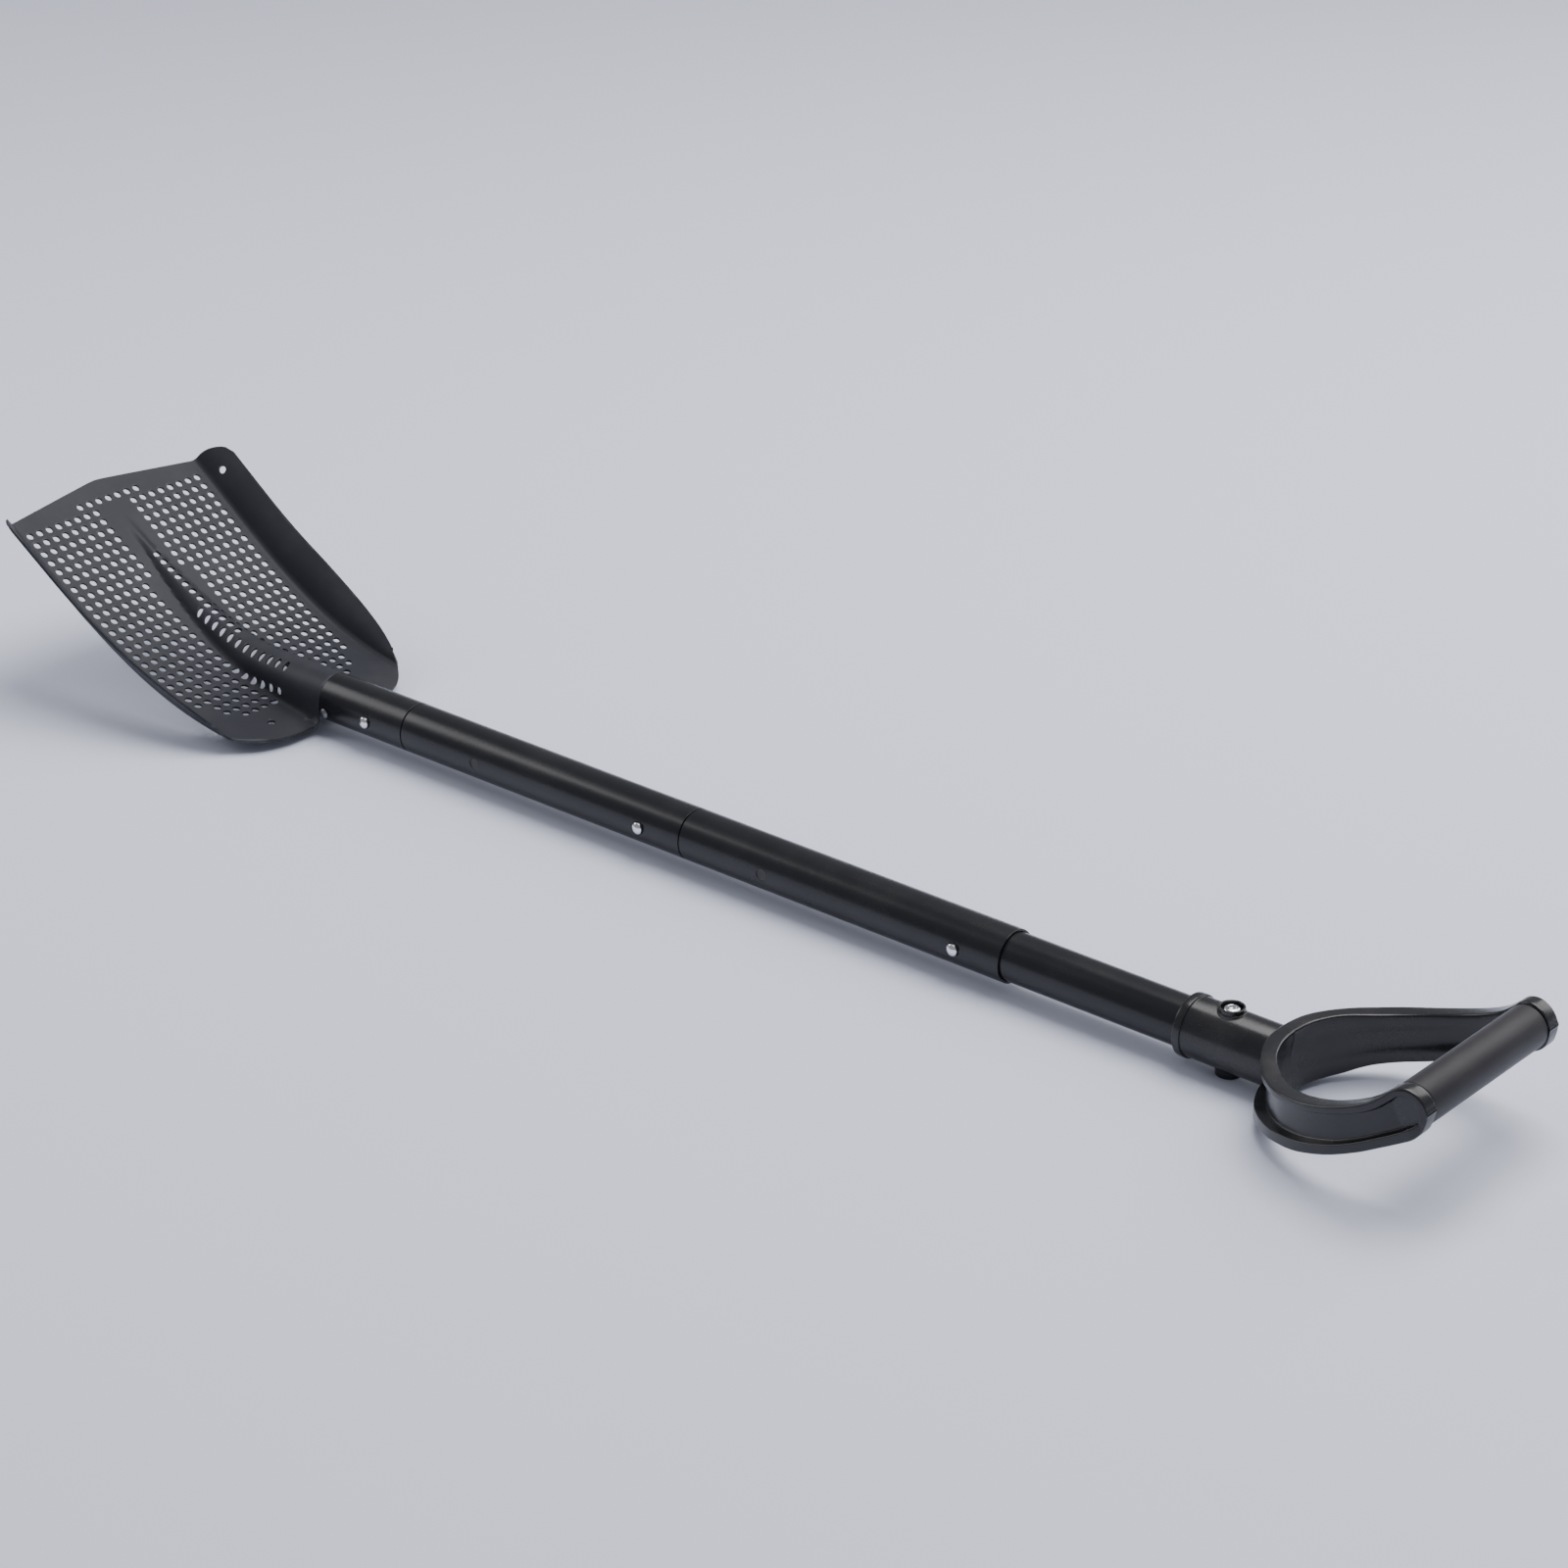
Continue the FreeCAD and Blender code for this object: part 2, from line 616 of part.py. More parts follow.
def rivet_seats():
    """Where the two rivets sit in the socket's sides: (point, direction)."""
    drop = size("rivet_drop")
    reach = math.sqrt(size("tube_radius") ** 2 - drop ** 2)
    at_x = HEEL_X + size("rivet_set_in")
    return [(V(at_x, side * reach, AXIS_Z - drop), V(0, side, 0)) for side in (-1, 1)]


def make_blade():
    """The pressed sheet with its rolled socket, trimmed and perforated."""
    blade = pressed_sheet()
    blade = blade.cut(plan_trim() + [wall_front_trim()])
    tube_shape, hole = rolled_socket()
    blade = blade.fuse(tube_shape)
    seats = [Part.makeCylinder(size("rivet_radius"), 12, point - out * 6, out)
             for point, out in rivet_seats()]
    blade = blade.cut([hole] + seats + hanging_holes())
    blade = blade.cut(pan_holes() + ridge_holes())
    obj = doc.addObject("Part::Feature", "blade_sheet")
    obj.Shape = blade
    return keep(obj, "scoop_blade")


def make_rivets():
    """Two short rivets in the socket's sides: a shank and a domed head."""
    solids = []
    radius = size("rivet_radius")
    for point, out in rivet_seats():
        shank = Part.makeCylinder(radius, 4.0, point - out * 2.6, out)
        ball = Part.makeSphere(4.4, point - out * 1.8)
        head = Part.makeCylinder(1.5 * radius, 2.0, point + out * 1.0, out).common(ball)
        solids.append(shank.fuse(head))
    obj = doc.addObject("Part::Feature", "rivets")
    obj.Shape = Part.makeCompound(solids)
    return keep(obj, "socket_rivets")


# ---------------------------------------------------------------- D grip
GRIP_X = size("grip_mouth")


def spline(points):
    curve = Part.BSplineCurve()
    curve.interpolate(points)
    return curve.toShape()


def grip_plan():
    """Outer and inner lines of the fork seen from above, from the grip's open end."""
    outer = [(45.0, 16.6), (56.0, 18.6), (64.5, 29.0), (72.5, 42.0), (82.5, 52.5),
             (94.5, 60.0), (112.5, 66.5), (132.5, 69.3), (152.5, 68.6), (186.0, 65.5)]
    inner = [(66.0, 0.0), (68.5, 16.0), (73.5, 27.5), (82.5, 38.2), (94.5, 48.0),
             (112.5, 55.8), (132.5, 58.8), (152.5, 58.4), (186.0, 56.0)]
    return outer, inner


def grip_side():
    """Top and bottom lines of the fork seen from the side, relative to the handle axis."""
    top = [(45.0, 17.0), (58.0, 19.6), (72.5, 19.0), (82.5, 18.3), (97.5, 19.5),
           (112.5, 22.5), (132.5, 28.3), (147.5, 34.4), (158.0, 41.5)]
    bottom = [(45.0, -17.0), (60.0, -17.6), (72.5, -16.6), (82.5, -12.5), (97.5, -9.4),
              (112.5, -6.0), (132.5, 0.5), (152.5, 9.3), (166.0, 17.4)]
    return top, bottom


def shifted(points, gap):
    """A line's points moved square to it, to its right for a positive gap."""
    moved = []
    for place, (x, y) in enumerate(points):
        before, after = points[max(place - 1, 0)], points[min(place + 1, len(points) - 1)]
        dx, dy = after[0] - before[0], after[1] - before[1]
        long = math.hypot(dx, dy)
        moved.append((x + gap * dy / long, y - gap * dx / long))
    return moved


def plan_face(inset, with_window):
    """The fork's outline from above, its outer line drawn in by inset."""
    outer, inner = grip_plan()
    right = [V(GRIP_X + x, y, 0) for x, y in shifted(outer, inset)]
    left = [V(p.x, -p.y, 0) for p in right]
    tail = [V(GRIP_X + x, y, 0) for x, y in inner]
    window = [V(p.x, -p.y, 0) for p in reversed(tail[1:])] + tail
    edges = [Part.makeLine(left[0], right[0]), spline(right), spline(left)]
    if with_window:
        edges += [spline(window), Part.makeLine(right[-1], tail[-1]),
                  Part.makeLine(left[-1], window[0])]
    else:
        edges.append(Part.makeLine(left[-1], right[-1]))
    return Part.Face(Part.Wire(Part.__sortEdges__(edges)))


def side_face(inset):
    """The fork's outline from the side, closed round the bar's end, drawn in by inset."""
    top, bottom = grip_side()
    bar = V(size("bar_x"), 0, AXIS_Z + size("bar_lift"))
    radius = size("boss_radius") + 0.6 - inset
    over = [V(GRIP_X + x, 0, AXIS_Z + z) for x, z in shifted(top, inset)]
    under = [V(GRIP_X + x, 0, AXIS_Z + z) for x, z in shifted(bottom, -inset)]
    over.append(bar + V(-0.5, 0, 0.86) * radius)
    under.append(bar + V(0.62, 0, -0.78) * radius)
    nose = Part.Arc(over[-1], bar + V(0.93, 0, 0.37) * radius, under[-1]).toShape()
    wire = Part.Wire(Part.__sortEdges__([spline(over), spline(under), nose,
                                         Part.makeLine(over[0], under[0])]))
    return Part.Face(wire)


def fork():
    """The two arms: the plan outline carried upwards, kept inside the side outline."""
    plan = plan_face(0.0, True).extrude(V(0, 0, 120))
    side = side_face(0.0).extrude(V(0, 200, 0))
    side.translate(V(0, -100, 0))
    arms = plan.common(side)
    core = plan_face(size("groove_depth"), False).extrude(V(0, 0, 120))
    inner = side_face(size("groove_lip")).extrude(V(0, 200, 0))
    inner.translate(V(0, -100, 0))
    behind = Part.makeBox(140, 200, 120, V(GRIP_X + 61.0, -100, 0))
    groove = inner.cut(core).common(behind)
    return arms.cut(groove)


def along_x(radius, start, length):
    return Part.makeCylinder(radius, length, V(start, 0, AXIS_Z), V(1, 0, 0))


def make_grip_yoke():
    """Socket, collar, screw pads, fork and bar bosses in one moulding."""
    bar = V(size("bar_x"), 0, AXIS_Z + size("bar_lift"))
    pad = size("cup_seat")
    screw_x = GRIP_X + size("screw_offset")
    solid = fork().fuse([
        along_x(size("grip_socket_radius"), GRIP_X, size("grip_socket_length")),
        along_x(size("collar_radius"), GRIP_X, size("collar_width")),
        Part.makeCylinder(size("cup_radius"), 2 * pad, V(screw_x, 0, AXIS_Z - pad)),
    ] + [Part.makeCylinder(size("boss_radius"), 12.0, bar + V(0, side * (size("sleeve_half") + 0.3), 0),
                           V(0, side, 0)) for side in (-1, 1)])
    seat = Part.makeCylinder(size("bar_radius") + 0.05, 2 * (size("sleeve_half") + 8.0),
                             bar - V(0, size("sleeve_half") + 8.0, 0), V(0, 1, 0))
    cuts = [along_x(size("grip_socket_bore"), GRIP_X - 1, size("grip_tube_tail") + 2),
            Part.makeCylinder(size("screw_radius") + 0.2, 60, V(screw_x, 0, AXIS_Z - 30)), seat]
    obj = doc.addObject("Part::Feature", "grip_moulding")
    obj.Shape = solid.cut(cuts)
    return keep(obj, "grip_yoke")


def across_bar(name, radius, half):
    """A cylinder on the bar's axis, centred on y = 0."""
    obj = doc.addObject("Part::Cylinder", name)
    obj.Placement = FreeCAD.Placement(V(0, 0, 0), FreeCAD.Rotation(V(1, 0, 0), -90))
    return bind(obj, Radius=radius, Height=f"2 * ({half})", Placement__Base__x="Sizes.bar_x",
                Placement__Base__y=f"-({half})", Placement__Base__z=f"{AXIS} + Sizes.bar_lift")


def make_bar():
    """The core rod between the arms and the soft sleeve on it."""
    keep(across_bar("bar_core", "Sizes.bar_radius", "Sizes.sleeve_half + 7.5"), "grip_bar")
    outside = across_bar("sleeve_outside", "Sizes.sleeve_radius", "Sizes.sleeve_half")
    inside = across_bar("sleeve_inside", "Sizes.bar_radius + 0.1", "Sizes.sleeve_half + 1")
    keep(cut("sleeve_body", outside, inside), "grip_sleeve")


def make_clamp():
    """The screw that pins the grip tube in the D grip, with its nut and two cup washers."""
    at_x = "Sizes.grip_mouth + Sizes.screw_offset"
    seat = "Sizes.cup_seat"
    foot = f"{AXIS} - Sizes.axis_height"
    head = upright("screw_head", "Sizes.screw_head", "Sizes.cup_thick - 0.6", at_x,
                   f"{AXIS} + {seat}")
    shank = upright("screw_shank", "Sizes.screw_radius", f"2 * {seat} + Sizes.nut_thick - 1",
                    at_x, f"{AXIS} - {seat} - Sizes.nut_thick + 1")
    socket = doc.addObject("Part::Prism", "screw_key")
    socket.Polygon = 6
    bind(socket, Circumradius="2.4", Height="3", Placement__Base__x=at_x,
         Placement__Base__z=f"{AXIS} + {seat} + 0.6")
    keep(cut("screw_body", fuse("screw_blank", [head, shank]), socket), "clamp_screw")
    nut = doc.addObject("Part::Prism", "nut_blank")
    nut.Polygon = 6
    bind(nut, Circumradius="Sizes.nut_across / sqrt(3)", Height="Sizes.nut_thick - 0.8",
         Placement__Base__x=at_x, Placement__Base__z=f"{AXIS} - {seat} - Sizes.nut_thick + 0.8")
    thread = upright("nut_thread", "Sizes.screw_radius + 0.01", "20", at_x, f"{AXIS} - {seat} - 15")
    keep(cut("nut_body", nut, thread), "clamp_nut")
    for name, height, base in (
            ("upper_cup_washer", "Sizes.cup_thick", f"{AXIS} + {seat}"),
            ("lower_cup_washer", f"Sizes.axis_height - {seat}", foot)):
        rim = upright(name + "_rim", "Sizes.cup_radius", height, at_x, base)
        well = upright(name + "_well", "Sizes.nut_across * 0.6 + 0.1", "20", at_x, f"{base} - 5")
        keep(cut(name + "_ring", rim, well), name)


make_tubes()
make_ferrules()
make_plug_welds()
for place, seam in zip(("lower", "middle", "upper"), SEAMS):
    make_button(f"{place}_button", seam)
    make_spring(f"{place}_spring", seam)
make_blade()
make_rivets()
make_grip_yoke()
make_bar()
make_clamp()
doc.recompute()

for obj in doc.Objects:
    assert "Invalid" not in obj.State and "Error" not in obj.State, obj.Label
for node in NODES:
    assert not node.Shape.isNull() and node.Shape.isValid(), node.Label

os.makedirs("parts", exist_ok=True)
for node in NODES:
    node.Shape.exportStep(f"parts/{node.Label}.step")
    print(node.Label, len(node.Shape.Solids), round(node.Shape.Volume, 1))
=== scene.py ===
# %% [markdown]
# # Beach sand scoop
#
# A pressed and perforated steel blade, a handle of three tube sections held together by
# sprung snap buttons, and a moulded D grip. The CAD model gives every place and size. This
# lesson makes the surfaces that are seen: each is worked out with numpy as a function on a
# grid, and each finish is a small set of shader nodes.

# %% Load the frame
import math

import bpy
import numpy as np
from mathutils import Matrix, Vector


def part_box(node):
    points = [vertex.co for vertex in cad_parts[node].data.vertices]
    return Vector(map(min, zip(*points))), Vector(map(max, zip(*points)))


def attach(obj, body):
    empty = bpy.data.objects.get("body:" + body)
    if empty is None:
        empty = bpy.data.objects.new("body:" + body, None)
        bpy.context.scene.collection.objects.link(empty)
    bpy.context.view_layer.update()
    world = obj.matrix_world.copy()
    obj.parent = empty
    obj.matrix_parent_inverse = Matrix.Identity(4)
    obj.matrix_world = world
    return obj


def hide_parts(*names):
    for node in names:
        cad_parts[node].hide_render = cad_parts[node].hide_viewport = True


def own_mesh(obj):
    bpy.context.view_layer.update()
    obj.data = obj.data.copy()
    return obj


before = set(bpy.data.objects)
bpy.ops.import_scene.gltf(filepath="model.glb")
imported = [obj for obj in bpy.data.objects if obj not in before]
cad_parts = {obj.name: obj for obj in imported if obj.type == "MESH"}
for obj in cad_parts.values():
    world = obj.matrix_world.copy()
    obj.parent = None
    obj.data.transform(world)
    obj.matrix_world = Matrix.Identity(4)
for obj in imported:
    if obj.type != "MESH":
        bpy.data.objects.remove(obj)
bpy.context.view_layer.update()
FIXED = "scoop_frame"
MM = 0.001

# %% [markdown]
# ## Measures taken from the frame
#
# Every place below starts from a CAD node's box, so the drawn pieces and the CAD parts
# can't drift apart. `span` gives one node's lowest and highest value along an axis.


# %% Measures
def span(node, axis):
    """Lowest and highest coordinate of a CAD node along axis 0, 1 or 2, in metres."""
    low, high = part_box(node)
    return low[axis], high[axis]


TUBE_X = {name: span(name, 0) for name in ("lower_tube", "upper_tube", "grip_tube")}
AXIS_Z = sum(span("lower_tube", 2)) / 2
TUBE_R = (span("lower_tube", 2)[1] - span("lower_tube", 2)[0]) / 2
GRIP_TUBE_R = (span("grip_tube", 2)[1] - span("grip_tube", 2)[0]) / 2
TIP_X, MOUTH_X = span("scoop_blade", 0)
SOCKET_LENGTH = 73.2 * MM
HEEL_X = MOUTH_X - SOCKET_LENGTH
GRIP_X = span("grip_yoke", 0)[0]
BAR_X = sum(span("grip_bar", 0)) / 2
BAR_Z = sum(span("grip_bar", 2)) / 2
print("handle axis", round(AXIS_Z, 4), "tube radius", round(TUBE_R, 4), "heel", round(HEEL_X, 4))

# %% [markdown]
# ## Camera
#
# A long lens from the grip's side, a little above: the blade stays large although it is
# the far end. The camera is aimed at a point on the handle, from an azimuth and an
# elevation, which are easier to read than a matrix.


# %% Camera
def make_camera(azimuth, elevation, distance, target, lens):
    """Camera that looks at target along the direction that azimuth and elevation give."""
    a, e = math.radians(azimuth), math.radians(elevation)
    back = np.array([math.sin(a) * math.cos(e), -math.cos(a) * math.cos(e), math.sin(e)])
    camera = bpy.data.cameras.new("camera")
    camera.lens, camera.sensor_width = lens, 36.0
    camera.clip_end = 50.0
    eye = bpy.data.objects.new("camera", camera)
    eye.location = np.array(target) + back * distance
    eye.rotation_euler = (math.pi / 2 - e, 0.0, a)
    bpy.context.scene.collection.objects.link(eye)
    bpy.context.scene.camera = eye
    return eye


BACK = (0.59087, -0.68575, 0.42508)
EYE = (1.39680, -1.54609, 1.03312)
REACH = 2.30
camera = make_camera(40.748, 25.157, REACH, [e - REACH * b for e, b in zip(EYE, BACK)], 90.27)
print("camera at", [round(v, 3) for v in camera.location])

# %% [markdown]
# ## Grids
#
# Most pieces are a rectangle of numbers bent into shape. `tiled_sheet` cuts a rectangle
# into cells. A plain cell is a small square grid, and a cell with a hole is a ring of
# quads between the cell's edge and an ellipse, so a perforated plate keeps clean quads.
# Points that fall together are joined afterwards, which also closes a tube's seam.


# %% Tiled sheets
def cell_edges(n):
    """The 4n points round a unit cell, counter-clockwise from its low corner."""
    t = np.arange(n) / n
    zero, one = np.zeros(n), np.ones(n)
    return np.concatenate([np.stack([t, zero], 1), np.stack([one, t], 1),
                           np.stack([1 - t, one], 1), np.stack([zero, 1 - t], 1)])


def ring_circle(n):
    """The 4n points of a unit circle that face the cell's edge points."""
    turn = 2 * np.pi * np.arange(4 * n) / (4 * n) - 3 * np.pi / 4
    return np.stack([np.cos(turn), np.sin(turn)], 1)


def plain_cells(corners, n):
    """Points and quads of plain cells: corners is (cells, 4) = u0, u1, v0, v1."""
    t = np.arange(n + 1) / n
    u = corners[:, 0, None] + (corners[:, 1] - corners[:, 0])[:, None] * t
    v = corners[:, 2, None] + (corners[:, 3] - corners[:, 2])[:, None] * t
    points = np.stack(np.broadcast_arrays(u[:, :, None], v[:, None, :]), -1).reshape(-1, 2)
    i, j = np.meshgrid(np.arange(n), np.arange(n), indexing="ij")
    first = (i * (n + 1) + j).ravel()
    quad = np.stack([first, first + n + 1, first + n + 2, first + 1], 1)
    start = np.arange(len(corners)) * (n + 1) ** 2
    return points, (quad[None] + start[:, None, None]).reshape(-1, 4)


def holed_cells(corners, holes, n):
    """Points and quads of cells with an elliptical hole: holes is (cells, 4) = centre, radii.

    Two rings of quads run from the cell's edge to a slightly larger ellipse and to the rim."""
    edge, circle = cell_edges(n), ring_circle(n)
    low, wide = corners[:, None, ::2], (corners[:, 1::2] - corners[:, ::2])[:, None]
    outer = low + wide * edge[None]
    rim = holes[:, None, :2] + holes[:, None, 2:] * circle[None]
    middle = 0.35 * outer + 0.65 * rim
    points = np.stack([outer, middle, rim], 1).reshape(-1, 2)
    k = np.arange(4 * n)
    after = (k + 1) % (4 * n)
    quads = [np.stack([k + 4 * n * ring, after + 4 * n * ring,
                       after + 4 * n * (ring + 1), k + 4 * n * (ring + 1)], 1) for ring in (0, 1)]
    quad = np.concatenate(quads)
    start = np.arange(len(corners)) * 12 * n
    return points, (quad[None] + start[:, None, None]).reshape(-1, 4)


def tiled_sheet(us, vs, holes, n):
    """Points (u, v) and quads of a sheet with cell lines us and vs.

    holes maps a cell (i, j) to (u, v, radius along u, radius along v)."""
    i, j = np.meshgrid(np.arange(len(us) - 1), np.arange(len(vs) - 1), indexing="ij")
    cells = np.stack([i.ravel(), j.ravel()], 1)
    holed = np.array([tuple(c) in holes for c in cells.tolist()], bool)

    def corners(which):
        """Edges u0, u1, v0, v1 of the chosen cells."""
        c = cells[which]
        return np.stack([us[c[:, 0]], us[c[:, 0] + 1], vs[c[:, 1]], vs[c[:, 1] + 1]], 1)

    points, quads = plain_cells(corners(~holed), n)
    if holed.any():
        shape = np.array([holes[tuple(c)] for c in cells[holed].tolist()])
        more, rings = holed_cells(corners(holed), shape, n)
        quads = np.concatenate([quads, rings + len(points)])
        points = np.concatenate([points, more])
    return points, quads


# %% Meshes from arrays
def joined(points, quads, grain=2e-6):
    """Points nearer than grain made one, and quads that collapse made triangles."""
    key = np.round(points / grain).astype(np.int64)
    _, first, index = np.unique(key, axis=0, return_index=True, return_inverse=True)
    faces = index.reshape(-1)[quads]
    out = []
    for face in faces.tolist():
        ring = [a for a, b in zip(face, face[1:] + face[:1]) if a != b]
        if len(ring) > 2:
            out.append(ring)
    return points[first], out


def make_piece(name, points, faces, body=FIXED, replaced=(), smooth=True):
    """A mesh object of points (metres) and faces, riding on a body."""
    mesh = bpy.data.meshes.new(name)
    mesh.from_pydata(points.tolist(), [], faces)
    mesh.validate()
    mesh.polygons.foreach_set("use_smooth", np.full(len(mesh.polygons), smooth))
    piece = bpy.data.objects.new(name, mesh)
    bpy.context.scene.collection.objects.link(piece)
    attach(piece, body)
    if replaced:
        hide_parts(*replaced)
    print(name, len(points), "points", len(faces), "faces")
    return piece


def thicken(piece, thickness, bevel, segments=2, angle=40.0):
    """Gives a sheet its thickness below its faces, then rounds the cut edges."""
    solid = piece.modifiers.new("thickness", "SOLIDIFY")
    solid.thickness, solid.offset = thickness, -1.0
    return round_edges(piece, bevel, segments, angle)


def round_edges(piece, width, segments=2, angle=40.0):
    """A small round on every edge sharper than angle degrees."""
    edge = piece.modifiers.new("rounded edges", "BEVEL")
    edge.width, edge.segments = width, segments
    edge.limit_method, edge.angle_limit = "ANGLE", math.radians(angle)
    edge.harden_normals = True
    return piece


# %% [markdown]
# ## Turned pieces
#
# Anything round is one outline spun about an axis. The outline's corners are drawn with
# small arcs, because a real edge always catches a little light.


# %% Turned pieces
def rounded_outline(corners, radius, steps=4):
    """A polyline (along, out) with each inner corner replaced by a quadratic curve."""
    corners = [np.array(c, float) for c in corners]
    radii = radius if isinstance(radius, (list, tuple)) else [radius] * (len(corners) - 2)
    line = [corners[0]]
    for before, at, after, r in zip(corners, corners[1:], corners[2:], radii):
        one, two = before - at, after - at
        reach = min(r, 0.49 * np.linalg.norm(one), 0.49 * np.linalg.norm(two))
        a = at + one / np.linalg.norm(one) * reach
        b = at + two / np.linalg.norm(two) * reach
        t = np.linspace(0, 1, steps + 1)[:, None]
        line += list((1 - t) ** 2 * a + 2 * t * (1 - t) * at + t ** 2 * b)
    line.append(corners[-1])
    return np.array(line)


def axes_from(direction):
    """Three unit vectors, the first along direction."""
    one = np.array(direction, float) / np.linalg.norm(direction)
    helper = np.array([0.0, 0.0, 1.0]) if abs(one[2]) < 0.9 else np.array([1.0, 0.0, 0.0])
    two = np.cross(helper, one)
    two /= np.linalg.norm(two)
    return one, two, np.cross(one, two)


def turned(outline, centre, direction, sides=64):
    """Points and faces of an outline (along, out) spun about an axis.

    A point is centre + along * axis + out * (cos turn * side + sin turn * up)."""
    one, two, three = axes_from(direction)
    turn = 2 * np.pi * np.arange(sides) / sides
    ring = np.cos(turn)[:, None] * two + np.sin(turn)[:, None] * three
    points = (np.array(centre) + outline[:, None, :1] * one + outline[:, None, 1:] * ring)
    i, j = np.meshgrid(np.arange(len(outline) - 1), np.arange(sides), indexing="ij")
    after = (j + 1) % sides
    quads = np.stack([i * sides + j, (i + 1) * sides + j, (i + 1) * sides + after,
                      i * sides + after], -1).reshape(-1, 4)
    return joined(points.reshape(-1, 3), quads)


def merge_parts(parts):
    """Several (points, faces) as one."""
    points, faces, start = [], [], 0
    for some, rings in parts:
        points.append(some)
        faces += [[v + start for v in ring] for ring in rings]
        start += len(some)
    return np.concatenate(points), faces


# %% [markdown]
# ## Blade: its lines
#
# The blade is pressed from one flat sheet that already has its holes. Three lines shape
# it: the side line of the pan, which is flat at the heel and sweeps up through two large
# radii, the ridge that carries the socket's roundness far into the pan, and the side
# walls. Working along arc lengths keeps the holes as evenly spaced as they were punched.

# %% Blade sizes
SHEET = 1.5 * MM
HEEL_FLAT = 30.3 * MM
SWEEPS = ((253.0 * MM, 8.1, 26.2), (440.0 * MM, 26.2, 34.5))
HEEL_DROP = 13.2 * MM
PITCH = 7.93 * MM
HOLE_R = 2.5 * MM
RIDGE_LENGTH, RIDGE_HALF = 197.0 * MM, 20.7 * MM
PAN_HALF_FRONT, PAN_HALF_HEEL = 76.5 * MM, 70.0 * MM
WALL_HEIGHT, WALL_LOW, WALL_BEND = 23.0 * MM, 9.0 * MM, 5.0 * MM
WALL_ANGLE = math.radians(55.0)
WALL_FLARE = 1.6 * MM
WALL_FALL_FROM, WALL_FALL_LONG, WALL_FALL_POWER = 0.115, 0.091, 0.6
DRAWN_SHARE = 0.77
TIP_SETBACK = 9.5 * MM
ROWS = 26


# %% Pan line
def pan_line(length=0.30, steps=2400):
    """Arc length, x and z of the pan's side line.

    Its slope is a broken line over arc length, so x and z are running sums of the
    slope's cosine and sine."""
    runs, slopes = [0.0, HEEL_FLAT], [SWEEPS[0][1], SWEEPS[0][1]]
    for radius, start, end in SWEEPS:
        runs.append(runs[-1] + radius * math.radians(end - start))
        slopes.append(end)
    run = np.linspace(0.0, length, steps)
    slope = np.radians(np.interp(run, runs, slopes))
    step = np.diff(run)
    middle = (slope[1:] + slope[:-1]) / 2
    x = HEEL_X - np.concatenate([[0], np.cumsum(np.cos(middle) * step)])
    z = AXIS_Z - HEEL_DROP + np.concatenate([[0], np.cumsum(np.sin(middle) * step)])
    return run, x, z, slope


RUN, RUN_X, RUN_Z, RUN_SLOPE = pan_line()
FRONT_SLOPE = RUN_SLOPE[-1]


def x_of(run):
    """Place along the handle of an arc length."""
    return np.interp(run, RUN, RUN_X)


def pan_z(x):
    """Height of the pan's side line."""
    return np.interp(-x, -RUN_X, RUN_Z)


def run_of(x):
    """Arc length of a place along the handle."""
    return np.interp(-x, -RUN_X, RUN)


# %% Ridge and wall lines
def ridge_height(x):
    """Crest above the pan: a slow ramp, a cubic, then level with the top of the socket."""
    ramp, low, high = 0.126, HEEL_X - 0.100, HEEL_X - 0.055
    top = AXIS_Z + TUBE_R
    slow = ramp * (x - HEEL_X + RIDGE_LENGTH)
    start = pan_z(low) + ramp * (low - HEEL_X + RIDGE_LENGTH)
    fall = (ramp - np.tan(np.interp(run_of(low), RUN, RUN_SLOPE))) * (high - low)
    t = np.clip((x - low) / (high - low), 0, 1)
    cubic = (start * (2 * t ** 3 - 3 * t ** 2 + 1) + fall * (t ** 3 - 2 * t ** 2 + t)
             + top * (3 * t ** 2 - 2 * t ** 3))
    return np.where(x <= low, np.maximum(0.3 * MM * 0.1, slow), cubic - pan_z(x))


def ridge_half(x):
    """Half width of the ridge's foot, quick from its tip and then levelling off."""
    reach = np.maximum(0.0, x - HEEL_X + RIDGE_LENGTH)
    return np.maximum(4.0 * MM, RIDGE_HALF * np.tanh(9.0 * reach) / math.tanh(9.0 * RIDGE_LENGTH))


def ridge_bend(x):
    """(angle, sum of crest and foot radius, flank length): level, over, and level again."""
    high, half = ridge_height(x), ridge_half(x)
    angle = np.minimum(2 * np.arctan2(high, 1.15 * half), math.radians(85.0))
    both = (half * np.sin(angle) - high * np.cos(angle)) / (1 - np.cos(angle))
    return angle, both, high / np.tan(angle / 2) - half


CREST_SHARE = TUBE_R / float(ridge_bend(np.array(HEEL_X))[1])


def drawn_in(x):
    """How far pressing the ridge has pulled the sheet towards the middle."""
    angle, both, flank = ridge_bend(x)
    return DRAWN_SHARE * (angle * both + flank - ridge_half(x))


def pan_half(x):
    """Half width of the pan, growing evenly from the heel to the front."""
    share = np.clip((HEEL_X - x) / (HEEL_X - TIP_X), 0, 1)
    return PAN_HALF_HEEL + share * (PAN_HALF_FRONT - PAN_HALF_HEEL)


def wall_height(x):
    """Full height in front, then an elliptic fall towards the heel."""
    t = np.clip((x - HEEL_X + WALL_FALL_FROM) / WALL_FALL_LONG, 0, 1)
    return np.maximum(WALL_LOW, WALL_HEIGHT * (1.0 - t * t) ** WALL_FALL_POWER)


# %% [markdown]
# ## Blade: the surface
#
# `sheet_point` takes a place on the blank, how far along and how far out, and says where
# pressing has carried it. Across the blade the sheet is made of arcs and straight runs:
# crest, flank, foot, pan, bend and wall. The stretch over the ridge makes the punched
# holes there longer, as they are on the real blade.


